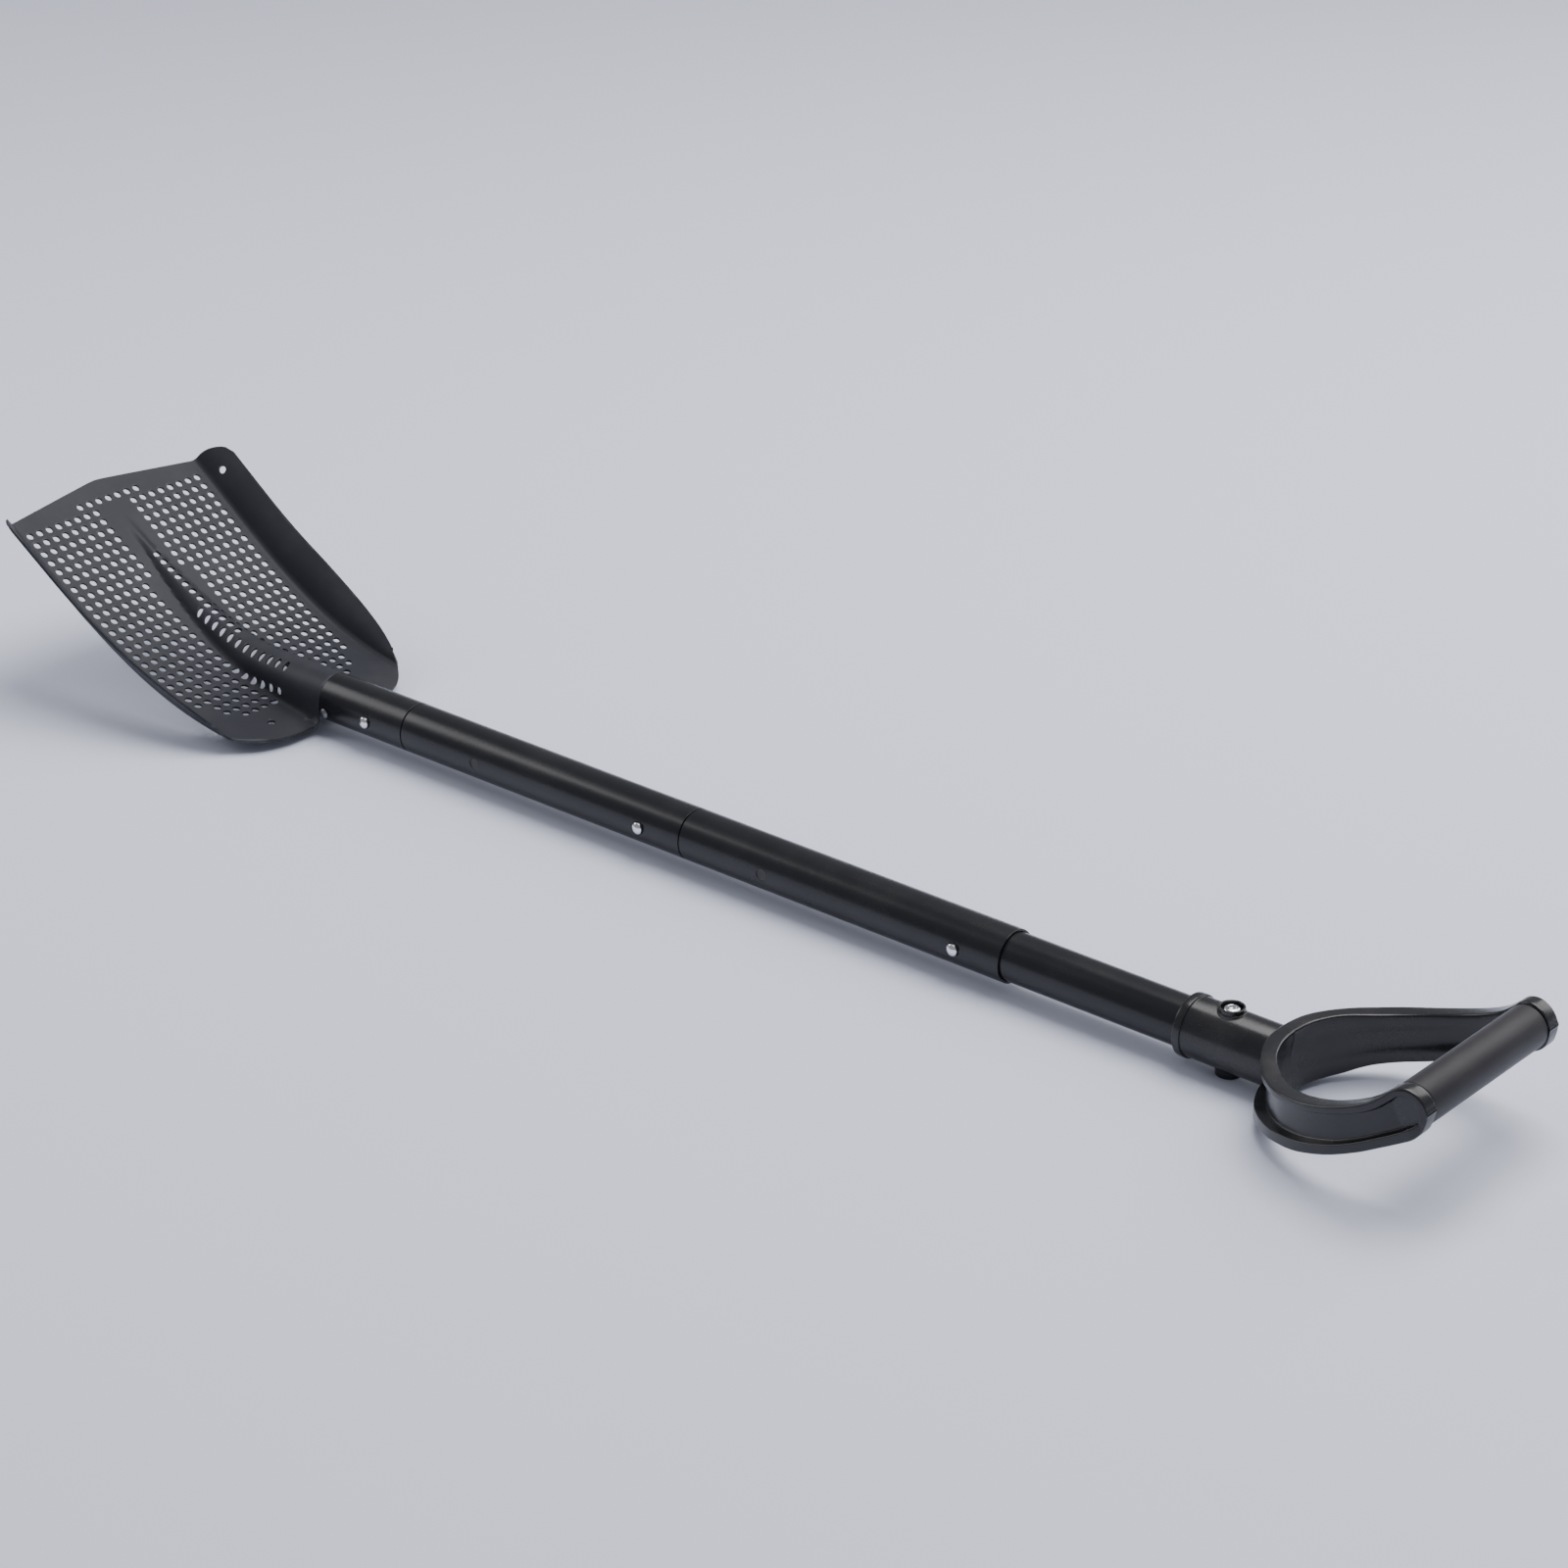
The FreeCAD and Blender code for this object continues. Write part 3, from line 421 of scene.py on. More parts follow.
# %% Blade surface
def sheet_point(run, out):
    """3-D points of the pressed sheet at arc length run and blank distance out (signed)."""
    x = x_of(run)
    side, q = np.sign(out), np.abs(out)
    angle, both, flank = ridge_bend(x)
    crest_r, foot_r = CREST_SHARE * both, (1 - CREST_SHARE) * both
    half, gather = ridge_half(x), drawn_in(x)
    over = angle * both + flank
    foot_q = half + gather
    a = np.where(q < foot_q, q * over / foot_q, over + q - foot_q)
    top = pan_z(x) + ridge_height(x)
    edge_y, edge_z = crest_r * np.sin(angle), top - crest_r * (1 - np.cos(angle))
    low_y, low_z = edge_y + flank * np.cos(angle), edge_z - flank * np.sin(angle)
    on_crest = a / crest_r
    on_flank = a - angle * crest_r
    on_foot = angle - (a - angle * crest_r - flank) / foot_r
    wide = pan_half(x)
    on_bend = (a - over - (wide - half)) / WALL_BEND
    on_wall = (on_bend - WALL_ANGLE) * WALL_BEND
    zones = [a <= angle * crest_r, on_flank <= flank, on_foot > 0, on_bend <= 0,
             on_bend <= WALL_ANGLE]
    y = np.select(zones, [
        crest_r * np.sin(on_crest), edge_y + on_flank * np.cos(angle),
        low_y + foot_r * (np.sin(angle) - np.sin(on_foot)), half + a - over,
        wide + WALL_BEND * np.sin(on_bend)],
        wide + WALL_BEND * math.sin(WALL_ANGLE) + on_wall * math.cos(WALL_ANGLE))
    z = np.select(zones, [
        top - crest_r * (1 - np.cos(on_crest)), edge_z - on_flank * np.sin(angle),
        low_z - foot_r * (np.cos(on_foot) - np.cos(angle)), pan_z(x) + 0 * a,
        pan_z(x) + WALL_BEND * (1 - np.cos(on_bend))],
        pan_z(x) + WALL_BEND * (1 - math.cos(WALL_ANGLE)) + on_wall * math.sin(WALL_ANGLE))
    whole = (wall_height(x) - WALL_BEND * (1 - math.cos(WALL_ANGLE))) / math.sin(WALL_ANGLE)
    flare = WALL_FLARE * np.sin(np.pi * np.clip(on_wall / whole, 0, 1)) * whole / WALL_HEIGHT
    return np.stack([x, side * (y - flare * math.sin(WALL_ANGLE)),
                     z + flare * math.cos(WALL_ANGLE)], -1)


def rim_out(x):
    """Blank distance of the wall's top edge."""
    high = wall_height(x)
    bend_high = WALL_BEND * (1 - math.cos(WALL_ANGLE))
    short = np.arccos(np.clip(1 - high / WALL_BEND, -1, 1)) * WALL_BEND
    tall = WALL_ANGLE * WALL_BEND + (high - bend_high) / math.sin(WALL_ANGLE)
    return pan_half(x) + drawn_in(x) + np.where(high < bend_high, short, tall)


# %% [markdown]
# ## Blade: the grid on the blank
#
# The punched grid sets the cells: 19 columns and 26 rows, one hole to a cell. Strips of
# cells outside it run to the front edge, the heel edge and the rims, and they slide so
# that the outer points land exactly on the outline.

# %% Blank outline
LATTICE_0 = HEEL_FLAT + 0.5 * PITCH
LATTICE_1 = LATTICE_0 + ROWS * PITCH
COLUMN_EDGE = 9.5
WALL_CELLS = 5
HEEL_CORNER_R, HEEL_CORNER_Y = 48.0 * MM, 33.5 * MM
HEEL_CORNER_TURN = math.radians(71.0)
HEEL_KEEP = 30.0 * MM
HEEL_LINES = (-3.0, -1.95, -0.55)
HEEL_WARP, HEEL_WARP_AT, HEEL_WARP_WIDE = 1.6, 6, 2
BEND_FROM_SHARE, BEND_TO_SHARE = 0.4, 0.75
FRONT_EASE, FRONT_POINT, FRONT_ROWS = 0.4 * MM, 0.003, 7
FRONT_CORNER_R = 15.0 * MM
TIP_RUN = float(run_of(TIP_X)) - FRONT_EASE
CORNER_RUN = float(run_of(TIP_X + TIP_SETBACK))


def out_of(column, run):
    """Blank distance of a column line; past the last one it runs to the rim in steps."""
    x = x_of(run)
    q = np.minimum(column, COLUMN_EDGE) * PITCH
    marks = [0.0, 1.0, 2.0, WALL_CELLS]
    bend = pan_half(x) + drawn_in(x)
    edge = COLUMN_EDGE * PITCH
    rim = rim_out(x)
    turned_q = np.minimum(bend + WALL_ANGLE * WALL_BEND, edge + BEND_TO_SHARE * (rim - edge))
    bend = np.minimum(bend, edge + BEND_FROM_SHARE * (rim - edge))
    t = np.maximum(column - COLUMN_EDGE, 0.0)
    parts = [(t - a) / (b - a) for a, b in zip(marks, marks[1:])]
    extra = np.select([t <= marks[1], t <= marks[2]],
                      [(bend - edge) * parts[0], bend - edge + (turned_q - bend) * parts[1]],
                      turned_q - edge + (rim - turned_q) * parts[2])
    return q + np.where(column > COLUMN_EDGE, extra, 0.0)


def front_run(column, run):
    """Slides points towards the front edge: a V over the pan, square and rounded at the walls."""
    q = out_of(column, np.full_like(column, CORNER_RUN))
    share = np.clip(np.abs(q - drawn_in(TIP_X)) / PAN_HALF_FRONT, 0, 1)
    edge = TIP_RUN + (CORNER_RUN - TIP_RUN) * np.sqrt(share ** 2 + FRONT_POINT)
    ahead = np.clip((run - LATTICE_1) / (2 * PITCH), 0, 1)
    run = np.where(run > LATTICE_1, LATTICE_1 + ahead * (edge - LATTICE_1), run)
    lift = (sheet_point(np.full_like(q, CORNER_RUN), q)[..., 2] - pan_z(x_of(CORNER_RUN)))
    lean, lift = lift * math.sin(FRONT_SLOPE), lift * math.cos(FRONT_SLOPE)
    over = np.clip(lift - (WALL_HEIGHT * math.cos(FRONT_SLOPE) - FRONT_CORNER_R), 0, None)
    bite = lean + FRONT_CORNER_R - np.sqrt(np.clip(FRONT_CORNER_R ** 2 - over ** 2, 0, None))
    hold = LATTICE_1 - FRONT_ROWS * PITCH
    squeeze = np.clip((run - hold) / (CORNER_RUN - hold), 0, None)
    return np.where(run > hold, run - squeeze * bite, run)


def out_at(x, y):
    """Blank distance of the sheet at |y|: over the pan, round the bend, then up the wall."""
    past = y - pan_half(x)
    bend_y = WALL_BEND * math.sin(WALL_ANGLE)
    round_bend = WALL_BEND * np.arcsin(np.clip(past / WALL_BEND, 0, math.sin(WALL_ANGLE)))
    up_wall = WALL_BEND * WALL_ANGLE + (past - bend_y) / math.cos(WALL_ANGLE)
    beyond = np.where(past < 0, past, np.where(past < bend_y, round_bend, up_wall))
    return pan_half(x) + beyond + drawn_in(x)


def heel_place(column, share):
    """Blank place between the heel outline (share 0) and the first lattice line (share 1)."""
    warp = HEEL_WARP * np.exp(-((column - HEEL_WARP_AT) / HEEL_WARP_WIDE) ** 2)
    column = column + warp * share * (1 - share)
    start_out = out_of(column, np.full_like(column, LATTICE_0))
    rim = float(out_of(np.array(COLUMN_EDGE + WALL_CELLS), np.array(LATTICE_0)))
    gather = float(drawn_in(HEEL_X))
    straight = HEEL_CORNER_Y + gather
    whole = straight + HEEL_CORNER_R * HEEL_CORNER_TURN
    s = np.where(start_out < HEEL_KEEP, start_out, HEEL_KEEP
                 + (start_out - HEEL_KEEP) * (whole - HEEL_KEEP) / (rim - HEEL_KEEP))
    turn = np.clip((s - straight) / HEEL_CORNER_R, 0, HEEL_CORNER_TURN)
    x = HEEL_X - HEEL_CORNER_R * (1 - np.cos(turn))
    end_run = run_of(x)
    end_out = np.where(s < straight, s,
                       out_at(x, HEEL_CORNER_Y + HEEL_CORNER_R * np.sin(turn)))
    return end_run + share * (LATTICE_0 - end_run), end_out + share * (start_out - end_out)


def blank_place(u, w):
    """Grid coordinates (row line u, column line w) to blank coordinates (run, out)."""
    column = np.abs(w)
    run = LATTICE_0 + np.clip(u, 0, None) * PITCH
    run = np.where(u > ROWS, LATTICE_1 + (u - ROWS) * PITCH, run)
    run = front_run(column, run)
    out = out_of(column, run)
    heel_run, heel_out = heel_place(column, np.clip(1 + u / 3.0, 0, 1))
    run, out = np.where(u < 0, heel_run, run), np.where(u < 0, heel_out, out)
    return run, np.sign(w) * out


# %% Holes of the blade
# The hanging holes in grid places: row line, then column line for the wall's, and radii.
HEEL_HANG = (-1.26, 0.23, 0.31)
WALL_HANG = (23.46, 12.74, 0.38, 0.35)
WALL_LINES = (1.0, 2.0, 2.7, 3.78, 5.0)


def blade_holes(first_u, first_w):
    """Which cells carry a hole, and its shape: rounds in the pan and crest, slots on the flanks."""
    r = HOLE_R / PITCH
    holes = {}
    for row in range(ROWS):
        last = {0: 7, 1: 8, 2: 8, ROWS - 1: 3}.get(row, 9)
        first = 0 if row == ROWS - 1 else (2 if row >= ROWS - 9 else 3)
        for column in range(-9, 10):
            near = abs(column)
            pan = first <= near <= last
            crest = near == 0 and 7 <= row <= 18
            slot = near == 1 and row <= 11
            if pan or crest or slot:
                shape = (0.25, 0.44) if slot else (r, r * (1.06 if crest else 1.0))
                holes[(row - first_u, column - first_w)] = (row + 0.5, float(column), *shape)
    for side in (-1, 1):
        holes[(1, 6 * side - first_w)] = (HEEL_HANG[0], 6.0 * side, *HEEL_HANG[1:])
        holes[(23 - first_u, 13 * side - first_w)] = (WALL_HANG[0], WALL_HANG[1] * side,
                                                      *WALL_HANG[2:])
    return holes


def make_blade_sheet():
    """The perforated sheet, as one surface over the blank's grid."""
    us = np.concatenate([HEEL_LINES, np.arange(0.0, ROWS + 3.0)])
    inner = np.arange(-COLUMN_EDGE, COLUMN_EDGE + 1)
    outer = COLUMN_EDGE + np.array(WALL_LINES)
    vs = np.concatenate([-outer[::-1], inner, outer])
    points, quads = tiled_sheet(us, vs, blade_holes(-len(HEEL_LINES), -9 - WALL_CELLS), 4)
    run, out = blank_place(points[:, 0], points[:, 1])
    return joined(sheet_point(run, out), quads[:, ::-1])


# %% Make the blade
blade = make_piece("scoop_blade_sheet", *make_blade_sheet())
thicken(blade, SHEET, bevel=0.35 * MM)

# %% [markdown]
# ## Tubes
#
# A tube is a rectangle of length by turn, rolled up. Cutting it into eight cells round
# puts one cell's middle on each side of the handle, so a hole cell there gives the snap
# button its hole. The socket on the blade is the same, but its sheet's edges meet in a
# seam underneath, which a real rolled socket always shows.

# %% Tube surfaces
SEAMS_X = [MOUTH_X, MOUTH_X + 232.8 * MM, MOUTH_X + 470.6 * MM]
BUTTON_BACK, BUTTON_HOLE = 31.4 * MM, 4.0 * MM
WELD_ON, WELD_HOLE = 64.8 * MM, 3.5 * MM
FRONT_SIDE, TOP_SIDE, UNDER_SIDE = 0, 2, 6
ROUND_CELLS = 8


def length_lines(start, end, marks, cell):
    """Cell lines from start to end with a cell centred on each mark."""
    stops = sorted([start, end] + [m + d for m in marks for d in (-cell / 2, cell / 2)])
    lines = [start]
    for a, b in zip(stops, stops[1:]):
        count = max(1, round((b - a) / cell))
        lines += list(a + (b - a) * np.arange(1, count + 1) / count)
    return np.array(lines)


def make_tube(start, end, radius, holes, seam=0.0, n=5):
    """A rolled tube: turn 0 is the -Y side and turns go up over the top.

    A point is (x, -cos turn, sin turn), and seam presses a V-shaped line in underneath.
    holes lists (x, side, radius), sides counted in eighths of a turn."""
    cell = 2 * np.pi * radius / ROUND_CELLS
    us = length_lines(start, end, sorted({h[0] for h in holes}), cell)
    vs = np.arange(ROUND_CELLS + 1) - 0.5
    cells = {}
    for x, side, size in holes:
        i = int(np.searchsorted(us, x)) - 1
        cells[(i, side)] = (x, float(side), size, math.asin(size / radius) * radius / cell)
    points, quads = tiled_sheet(us, vs, cells, n)
    turn = points[:, 1] * 2 * np.pi / ROUND_CELLS
    off = (turn - 1.5 * np.pi) * radius
    r = radius - seam * np.exp(-(off / (0.5 * MM)) ** 2)
    shape = np.stack([points[:, 0], -r * np.cos(turn), AXIS_Z + r * np.sin(turn)], 1)
    return joined(shape, quads)


def at_button(k):
    """Place along the handle of snap button k."""
    return SEAMS_X[k] - BUTTON_BACK


# %% Make the tubes
WALL = 1.4 * MM
socket = make_piece("blade_socket", *make_tube(
    HEEL_X, MOUTH_X, TUBE_R, [(at_button(0), FRONT_SIDE, BUTTON_HOLE)], seam=0.35 * MM))
thicken(socket, SHEET, bevel=0.3 * MM)
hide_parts("scoop_blade")
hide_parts("scoop_blade")
tubes = [socket]
for k, name in enumerate(("lower_tube", "upper_tube")):
    holes = [(SEAMS_X[k] + WELD_ON, FRONT_SIDE, WELD_HOLE),
             (at_button(k + 1), FRONT_SIDE, BUTTON_HOLE)]
    tube = make_piece(name + "_wall", *make_tube(*TUBE_X[name], TUBE_R, holes), replaced=(name,))
    tubes.append(thicken(tube, WALL, bevel=0.3 * MM))
SCREW_X = sum(span("clamp_screw", 0)) / 2
holes = [(at_button(2), FRONT_SIDE, BUTTON_HOLE), (SCREW_X, TOP_SIDE, 3.2 * MM),
         (SCREW_X, UNDER_SIDE, 3.2 * MM)]
tube = make_piece("grip_tube_wall", *make_tube(*TUBE_X["grip_tube"], GRIP_TUBE_R, holes),
                  replaced=("grip_tube",))
tubes.append(thicken(tube, 1.3 * MM, bevel=0.3 * MM))

# %% [markdown]
# ## Snap buttons
#
# Each button is a turned pin: a flange that the spring pushes against the sleeve's wall, a
# stem, and a dome that a thumb presses. Each rides on its own body, so it can move in.

# %% Make the buttons
DOME_R, STEM_R, FLANGE_R = 5.2 * MM, 3.7 * MM, 5.4 * MM


def button_outline(foot, tip):
    """Flange, stem and dome as (distance from the handle's axis, radius); the dome is an arc."""
    edge = math.asin(STEM_R / DOME_R)
    turn = np.linspace(edge, 0, 14)[:, None]
    dome = np.hstack([tip - DOME_R + DOME_R * np.cos(turn), DOME_R * np.sin(turn)])
    neck = rounded_outline([(foot, 0), (foot, FLANGE_R), (foot + MM, FLANGE_R),
                            (foot + MM, STEM_R), dome[0] - (0.05 * MM, 0)], 0.25 * MM)
    return np.vstack([neck, dome])


buttons = []
for k, place in enumerate(("lower", "middle", "upper")):
    low, high = span(place + "_button", 1)
    buttons.append(make_piece(
        place + "_button_dome", *turned(button_outline(-high, -low),
                                        (at_button(k), 0, AXIS_Z), (0, -1, 0), 48),
        body=place + "_button_pin", replaced=(place + "_button",)))

# %% [markdown]
# ## Spring strips
#
# Each button is pushed out by a bent strip inside the tube. The CAD strip already has the
# right shape, so the drawn one is a copy of it.


def mesh_of(name):
    """Points in the row frame and faces of a CAD node, its loose triangles merged."""
    node_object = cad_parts[name]
    mesh = node_object.data
    points = np.empty(3 * len(mesh.vertices))
    mesh.vertices.foreach_get("co", points)
    turned_by = np.array(node_object.matrix_world)
    points = points.reshape(-1, 3) @ turned_by[:3, :3].T + turned_by[:3, 3]
    return joined(points, np.array([face.vertices[:] for face in mesh.polygons]))


strips = []
for k, place in enumerate(("lower", "middle", "upper")):
    points, faces = mesh_of(place + "_spring")
    strip = make_piece(place + "_spring_strip", points, faces, replaced=(place + "_spring",),
                       smooth=False)
    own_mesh(strip)
    strips.append(strip)

# %% [markdown]
# ## D grip: the moulding
#
# The grip is one plastic moulding: a socket with a collar, and two arms that swing out,
# back in and up to the ends of the bar. A solid arm would sink as it cooled, so the real
# one has a deep channel outside and a shallow one inside. An arm is one section carried
# along four edge lines: outer and inner seen from above, top and bottom from the side.


# %% Smooth lines
def smooth_line(points, at):
    """Catmull-Rom curve through points, at values from 0 to the number of spans.

    Each span is a cubic whose end slopes are half the chord between its neighbours."""
    points = np.array(points, float)
    slopes = np.gradient(points, axis=0)
    i = np.clip(np.floor(at).astype(int), 0, len(points) - 2)
    t = (at - i)[:, None]
    return (points[i] * (2 * t ** 3 - 3 * t ** 2 + 1) + slopes[i] * (t ** 3 - 2 * t ** 2 + t)
            + points[i + 1] * (3 * t ** 2 - 2 * t ** 3) + slopes[i + 1] * (t ** 3 - t ** 2))


# %% D grip lines
# Stations of an arm, in mm from the grip's open end: the outer edge and the inner edge seen
# from above (x, y, x, y), then the top and the underside seen from the side (x, z, x, z).
ARM = np.array([
    (57.0, 0, 66.0, 0, 61, 19.4, 61, -17.7), (57.6, 9, 66.9, 9, 61, 19.4, 61, -17.7),
    (59.4, 17.5, 69.0, 17, 63, 19.5, 63, -17.6), (62.8, 26, 73.0, 26.3, 68, 19.3, 68, -17.2),
    (68.0, 35, 77.5, 32.8, 73, 19.0, 73, -16.2), (74.6, 44, 83.2, 38.8, 79, 18.6, 79, -13.8),
    (82.5, 51.8, 89.0, 44.0, 86, 18.4, 86, -11.9), (94.5, 60, 99.0, 50.4, 97, 19.4, 97, -9.5),
    (112.5, 66.5, 114, 56.1, 113, 22.6, 113, -5.9), (130.5, 69, 131, 58.6, 129, 27.2, 132, 0.3),
    (146, 68.6, 146, 58.4, 143, 32.4, 150, 8.0), (158, 67.4, 158, 57.2, 153, 38.0, 163, 15.4),
    (167, 66, 167, 56, 160.4, 44.0, 173.4, 21.4), (172.5, 65, 172.5, 55.2, 165.6, 48.9, 179, 25.0),
    (177.5, 64, 177.5, 54.6, 172.4, 50.7, 182.4, 28.8),
    (181, 63.4, 181, 54.2, 178.4, 49.0, 184.2, 32.2),
    (183.4, 63, 183.4, 54, 182.4, 45.6, 185.0, 35.6),
    (184.6, 62.8, 184.6, 53.9, 184.4, 41.6, 185.2, 38.4),
    (185.1, 62.7, 185.1, 53.8, 185.1, 39.8, 185.2, 39.3)])
LIP, CHANNEL, HOLLOW, SOFT = 4.2, 4.4, 1.6, 1.5
NOSE_R = 13.2
SKIRT_HIGH, SKIRT_OUT = 4.0, 2.2
SKIRT_FROM, SKIRT_GROWS = 22, 12
HOLLOW_FROM, HOLLOW_GROWS = 6, 15


def arm_section(thick, high):
    """One section as (inwards, up) in mm, clockwise from the outer top corner.

    Outer face with its channel between two lips, underside, hollowed inner face, top. Past
    the bar's middle the section is a chord of the round nose, so the channel is one too."""
    half = high / 2
    lip = LIP
    if half < NOSE_R:
        past = NOSE_R ** 2 - half ** 2
        lip = half - math.sqrt(max((NOSE_R - LIP) ** 2 - past, 0.0))
    open_high = high - 2 * lip
    deep = CHANNEL * min(1.0, open_high / 3.0)
    slant = min(0.7, open_high / 4)
    skirt = min(1.0, max(0.0, (high - SKIRT_FROM) / SKIRT_GROWS))
    foot, out = lip + SKIRT_HIGH * skirt, SKIRT_OUT * skirt
    hollow = HOLLOW * min(1.0, max(0.0, high - HOLLOW_FROM) / HOLLOW_GROWS)
    corners = [(0, high), (0, high - lip), (deep, high - lip - slant), (deep, foot + slant),
               (-out, foot), (-out, 0), (thick, 0), (thick, 0.2 * high),
               (thick - hollow, 0.38 * high), (thick - hollow, 0.62 * high),
               (thick, 0.8 * high), (thick, high)]
    soft = [SOFT, 0.9, 1.2, 1.2, 0.9, SOFT, SOFT, 4, 4, 4, 4, SOFT]
    corners = [np.array(c, float) for c in corners]
    line, count = [], len(corners)
    t = np.linspace(0, 1, 5)[:, None]
    for k, at in enumerate(corners):
        ends = []
        for other in (corners[k - 1], corners[(k + 1) % count]):
            reach = max(np.linalg.norm(other - at), 1e-6)
            ends.append(at + (other - at) / reach * min(soft[k], 0.45 * reach))
        line.append((1 - t) ** 2 * ends[0] + 2 * t * (1 - t) * at + t ** 2 * ends[1])
    return np.concatenate(line)


def make_arm(side, stations=150):
    """Sweep of arm_section along the stations.

    Inwards blends from outer to inner edge and up from underside to top; where top and
    underside differ in x the section leans, which turns it round the bar's end."""
    row = smooth_line(ARM, np.linspace(0, len(ARM) - 1, stations))
    across = row[:, 2:4] - row[:, 0:2]
    thick = np.linalg.norm(across, axis=1)
    lean = row[:, 4] - row[:, 6]
    chord = np.hypot(row[:, 5] - row[:, 7], lean)
    sections = np.array([arm_section(w, h) for w, h in zip(thick, chord)])
    into = sections[..., 0] / thick[:, None]
    up = sections[..., 1] / chord[:, None]
    x = row[:, 0:1] + across[:, 0:1] * into + lean[:, None] * (up - 0.5)
    y = side * (row[:, 1:2] + across[:, 1:2] * into)
    z = row[:, 7:8] + (row[:, 5:6] - row[:, 7:8]) * up
    count = sections.shape[1]
    points = np.stack([x, y, z], -1).reshape(-1, 3) * MM + (GRIP_X, 0, AXIS_Z)
    i, j = np.meshgrid(np.arange(stations - 1), np.arange(count), indexing="ij")
    after = (j + 1) % count
    quads = np.stack([i * count + j, i * count + after, (i + 1) * count + after,
                      (i + 1) * count + j], -1).reshape(-1, 4)
    return joined(points, quads if side > 0 else quads[:, ::-1], 1e-7)


# %% Make the moulding
COLLAR_R, COLLAR_WIDE, HOUSE_R, HOUSE_LONG = 18.2 * MM, 5.0 * MM, 17.2 * MM, 60.0 * MM
BORE_R, BORE_LONG = 14.6 * MM, 45.5 * MM
SEAT = 17.4 * MM
PAD_R = 7.4 * MM
BOSS_R, BOSS_IN, BOSS_OUT = 12.0 * MM, 54.2 * MM, 57.6 * MM
house = rounded_outline([(BORE_LONG, 0), (BORE_LONG, BORE_R), (0, BORE_R), (0, COLLAR_R),
                         (COLLAR_WIDE, COLLAR_R), (COLLAR_WIDE, HOUSE_R), (HOUSE_LONG, HOUSE_R),
                         (HOUSE_LONG, 0)], [0.5 * MM, 0.5 * MM, 0.9 * MM, 0.9 * MM, 0.7 * MM,
                                            1.5 * MM])
pad = rounded_outline([(-SEAT, 0), (-SEAT, PAD_R + 0.6 * MM), (SEAT, PAD_R + 0.6 * MM), (SEAT, 0)],
                      0.6 * MM)
boss = rounded_outline([(BOSS_IN, 0), (BOSS_IN, BOSS_R), (BOSS_OUT, BOSS_R), (BOSS_OUT, 0)],
                       0.8 * MM)
moulding = merge_parts([
    turned(house, (GRIP_X, 0, AXIS_Z), (1, 0, 0), 96),
    turned(pad, (SCREW_X, 0, AXIS_Z), (0, 0, 1), 48),
    turned(boss, (BAR_X, 0, BAR_Z), (0, 1, 0), 72),
    turned(boss, (BAR_X, 0, BAR_Z), (0, -1, 0), 72),
    make_arm(1), make_arm(-1)])
grip = make_piece("d_grip_moulding", *moulding, replaced=("grip_yoke",))

# %% [markdown]
# ## D grip: sleeve, screw and cups
#
# The bar is covered by a soft sleeve with rounded ends. The screw's head sits in a moulded
# cup: a low dome with a six-sided key recess, whose rings follow a hexagon instead of a
# circle.

# %% Make the sleeve and the clamp
SLEEVE_R = (span("grip_sleeve", 2)[1] - span("grip_sleeve", 2)[0]) / 2
SLEEVE_HALF = span("grip_sleeve", 1)[1]
sleeve_line = rounded_outline([(-SLEEVE_HALF, 9.1 * MM), (-SLEEVE_HALF, SLEEVE_R),
                               (SLEEVE_HALF, SLEEVE_R), (SLEEVE_HALF, 9.1 * MM),
                               (-SLEEVE_HALF, 9.1 * MM)], [2.2 * MM, 2.2 * MM, 0.3 * MM], 6)
sleeve = make_piece("grip_bar_sleeve", *turned(sleeve_line, (BAR_X, 0, BAR_Z), (0, 1, 0), 96),
                    replaced=("grip_sleeve",))

CUP_BORE = 6.1 * MM


def cup_outline(base, rim):
    """A ring with a rounded lip round the screw's head."""
    return rounded_outline([(base, CUP_BORE), (base, PAD_R), (rim, PAD_R), (rim, CUP_BORE),
                            (base, CUP_BORE)], [0.3 * MM, 0.8 * MM, 0.8 * MM], 5)


upper_cup, lower_cup = (span(n + "_cup_washer", 2) for n in ("upper", "lower"))
cups = [make_piece("upper_cup_ring", *turned(cup_outline(*upper_cup), (SCREW_X, 0, 0), (0, 0, 1)),
                   replaced=("upper_cup_washer",)),
        make_piece("lower_cup_ring", *turned(cup_outline(*(-z for z in lower_cup[::-1])),
                                             (SCREW_X, 0, 0), (0, 0, -1)),
                   replaced=("lower_cup_washer",))]


